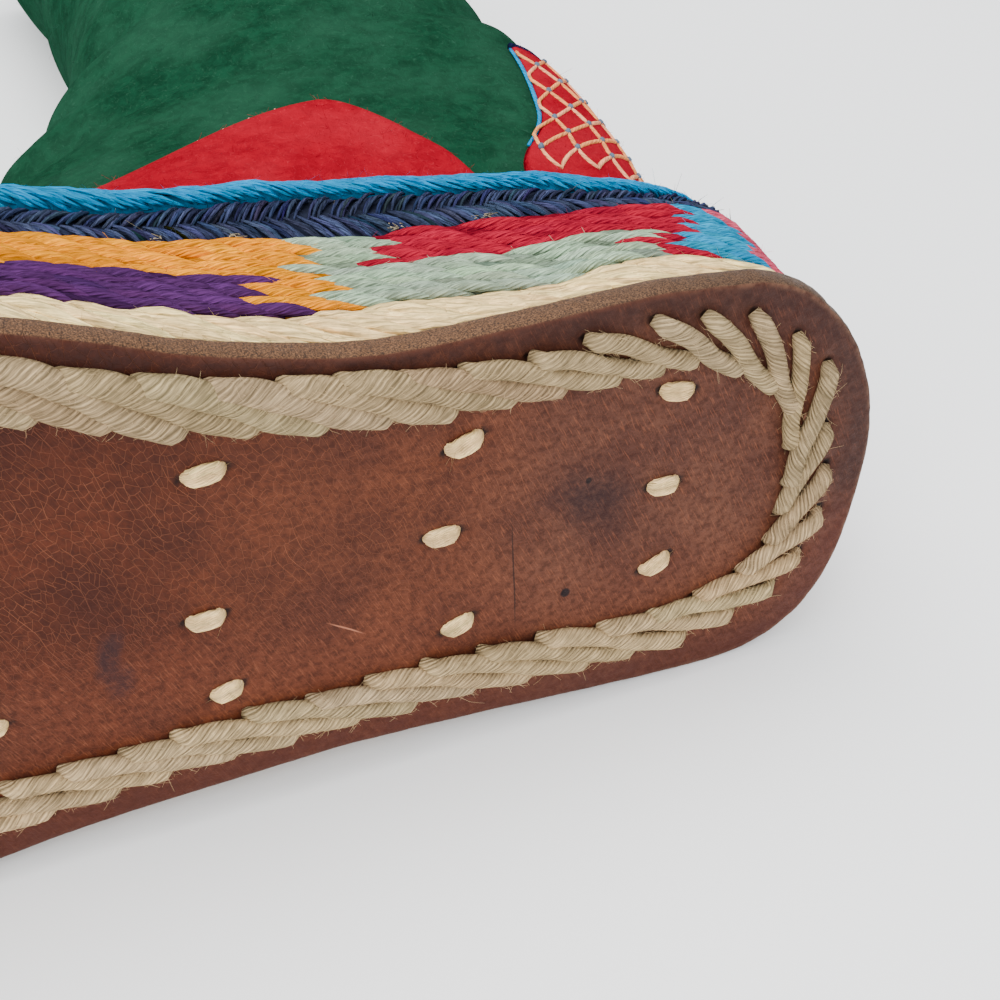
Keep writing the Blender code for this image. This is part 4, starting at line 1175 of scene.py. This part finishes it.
def addPatch(name, edge, side, columns, rows, thick, finish):
    alongs, ups = np.linspace(0, 1, columns + 1), np.linspace(0, 1, rows + 1)
    low = overlaySet["low"]
    foot, head, top = np.array([edge(share) for share in alongs]).T[..., None]
    base, outward = feltFrame(side * (foot + (head - foot) * ups), low + (top - low) * ups)
    length = np.linalg.norm(np.diff(base, axis=0), axis=2).sum(axis=0)
    rise = np.linalg.norm(np.diff(base, axis=1), axis=2).sum(axis=1)[:, None]
    inside = np.minimum(np.minimum(alongs, 1 - alongs)[:, None] * length, np.minimum(ups, 1 - ups) * rise)
    pillow = np.sqrt(1 - (1 - np.clip(inside / overlaySet["rounding"], 0, 1)) ** 2)
    face = base + (overlaySet["seat"] + thick * pillow)[..., None] * outward
    back = base + overlaySet["seat"] * outward
    tour = np.concatenate((face, back[:, -2:0:-1]), axis=1)

    def place(i, j):
        return tour[i, j % tour.shape[1]], {}

    addPiece(name, gridMesh(name, columns, tour.shape[1], place), finish, [name])
    return face, outward


redHairs = []
for name, edge, side, columns, rows, thick in (
        ("side_panel_inner", panelEdge, 1, 64, 30, 0.75),
        ("side_panel_outer", panelEdge, -1, 64, 30, 0.75),
        ("heel_counter_inner", counterEdge, 1, 36, 44, 1.1),
        ("heel_counter_outer", counterEdge, -1, 36, 44, 1.1)):
    face, outward = addPatch(name, edge, side, columns, rows, thick, redFelt)
    redHairs.append(feltHairs(face, outward, feltSet["red"] * 1.2, feltSet["patchFuzz"], columns + side))
addPatch("back_strip", stripEdge, 1, 12, 150, 0.8, navyFelt)
paleGreen = feltSet["green"] * 1.3 + 0.003
greenHairs = feltHairs(feltGrid[7:], feltOut[7:], paleGreen, feltSet["fuzz"], feltSet["seed"])
addStrands("greenHairs", [greenHairs], looseFibre)
addStrands("redHairs", redHairs, looseFibre)

# couched threads, knots and edge stitches on the felt
threadSet = {"period": 6.4, "rise": 5.4, "low": 50.6, "half": 0.42, "start": -0.7, "lift": 1.3, "rows": 10,
             "corners": 22, "dashes": 13, "gold": srgb(232, 150, 92), "peach": srgb(236, 160, 118),
             "slate": srgb(92, 108, 126), "pink": srgb(222, 150, 138)}
threadYarn = yarnFinish("couchedThread", plies=3, pitch=1.4, ridge=0.1, grooveShade=0.2)


def threadForm(angle, height, lift, half):      # round thread laid on the felt along angles and heights
    spots, outward = feltFrame(angle, height)
    paths = (spots + np.asarray(lift)[..., None] * outward)[None]
    beside = np.cross(outward, unit(np.gradient(paths[0], axis=0)))[None]
    wide = np.full(paths.shape[:2], half) * np.sin(np.pi * np.linspace(0.08, 0.92, paths.shape[1])) ** 0.2
    return strandForm(paths, beside, wide, wide * 0.85, 6)


def counterLine(distance, height, side):        # angle on the counter at a distance from its front edge
    shares = np.linspace(1, 0, 60)
    spots = upperPoint(counterAngle(shares, height), np.full(60, height))
    run = np.concatenate(([0], np.cumsum(np.linalg.norm(np.diff(spots, axis=0), axis=1))))
    share = np.interp(distance, run, shares)
    return side * counterAngle(share, height), share


def counterThreads(side):       # zigzags that meet point to point, with a knot at each meeting
    parts, lift = [], threadSet["lift"]
    corners = np.arange(threadSet["corners"])
    fine = np.linspace(0, len(corners) - 1, 4 * len(corners) - 3)
    far = np.interp(fine, corners, threadSet["start"] + corners * threadSet["period"] / 2)
    for row in range(threadSet["rows"]):
        level = threadSet["low"] + threadSet["rise"] * (row + (corners + row) % 2)
        level = np.interp(fine, corners, level)
        angle, share = np.array([counterLine(d, h, side) for d, h in zip(far, level)]).T
        keep = (share > 0.03) & (level < counterTop(share) - 1.6)
        last = len(keep) if keep.all() else int(np.argmin(keep))
        first = 0 if row else 4
        if last < first + 8:
            continue
        zigzag = threadForm(angle[first:last], level[first:last], lift, threadSet["half"])
        parts.append((zigzag, [threadSet["gold"] if row % 3 else threadSet["peach"]]))
        for k in range(4, last - 1, 4):
            if (k // 4 + row) % 2:
                upright = level[k] + np.linspace(-0.5, 0.5, 5)
                knot = threadForm(np.full(5, angle[k]), upright, lift + 0.25, 0.52)
                parts.append((knot, [threadSet["slate"]]))
    return parts


def edgeDashes(side):       # pale whip stitches over the panel's toe-side edge
    parts = []
    t = np.linspace(0, 1, 5)
    lift = 0.6 * (0.2 + 0.75 * fade(t * 1.6))
    for share in np.linspace(0.55, 0.97, threadSet["dashes"]):
        head, top = panelEdge(share)[1:]
        dash = threadForm(side * (head + 0.012 * (0.5 - t)), top + 0.6 - 1.9 * t, lift, 0.16)
        parts.append((dash, [threadSet["pink"]]))
    return parts


def addThreads():
    parts = counterThreads(1) + counterThreads(-1) + edgeDashes(1) + edgeDashes(-1)
    addStrands("couchedThreads", parts, threadYarn)
    heights, shares = np.linspace(58, overlaySet["counterTop"] - 1, 40), np.linspace(0.0, 1.0, 60)
    tops = counterTop(shares)
    front, head = counterAngle(1.0, heights), counterAngle(shares, tops)
    edging = [(threadForm(side * front, heights, 0.5, 0.42), [edgeSet["colour"]]) for side in (1, -1)]
    binding = [(threadForm(side * head, tops, 0.7, 1.0), [feltSet["navy"]]) for side in (1, -1)]
    addStrands("counterEdging", edging, threadYarn)
    addStrands("counterBinding", binding, threadYarn)


addThreads()

insoleFinish = feltFinish("insoleFelt", srgb(178, 168, 146), srgb(140, 130, 110))
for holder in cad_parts["insole"].material_slots:
    holder.material = insoleFinish
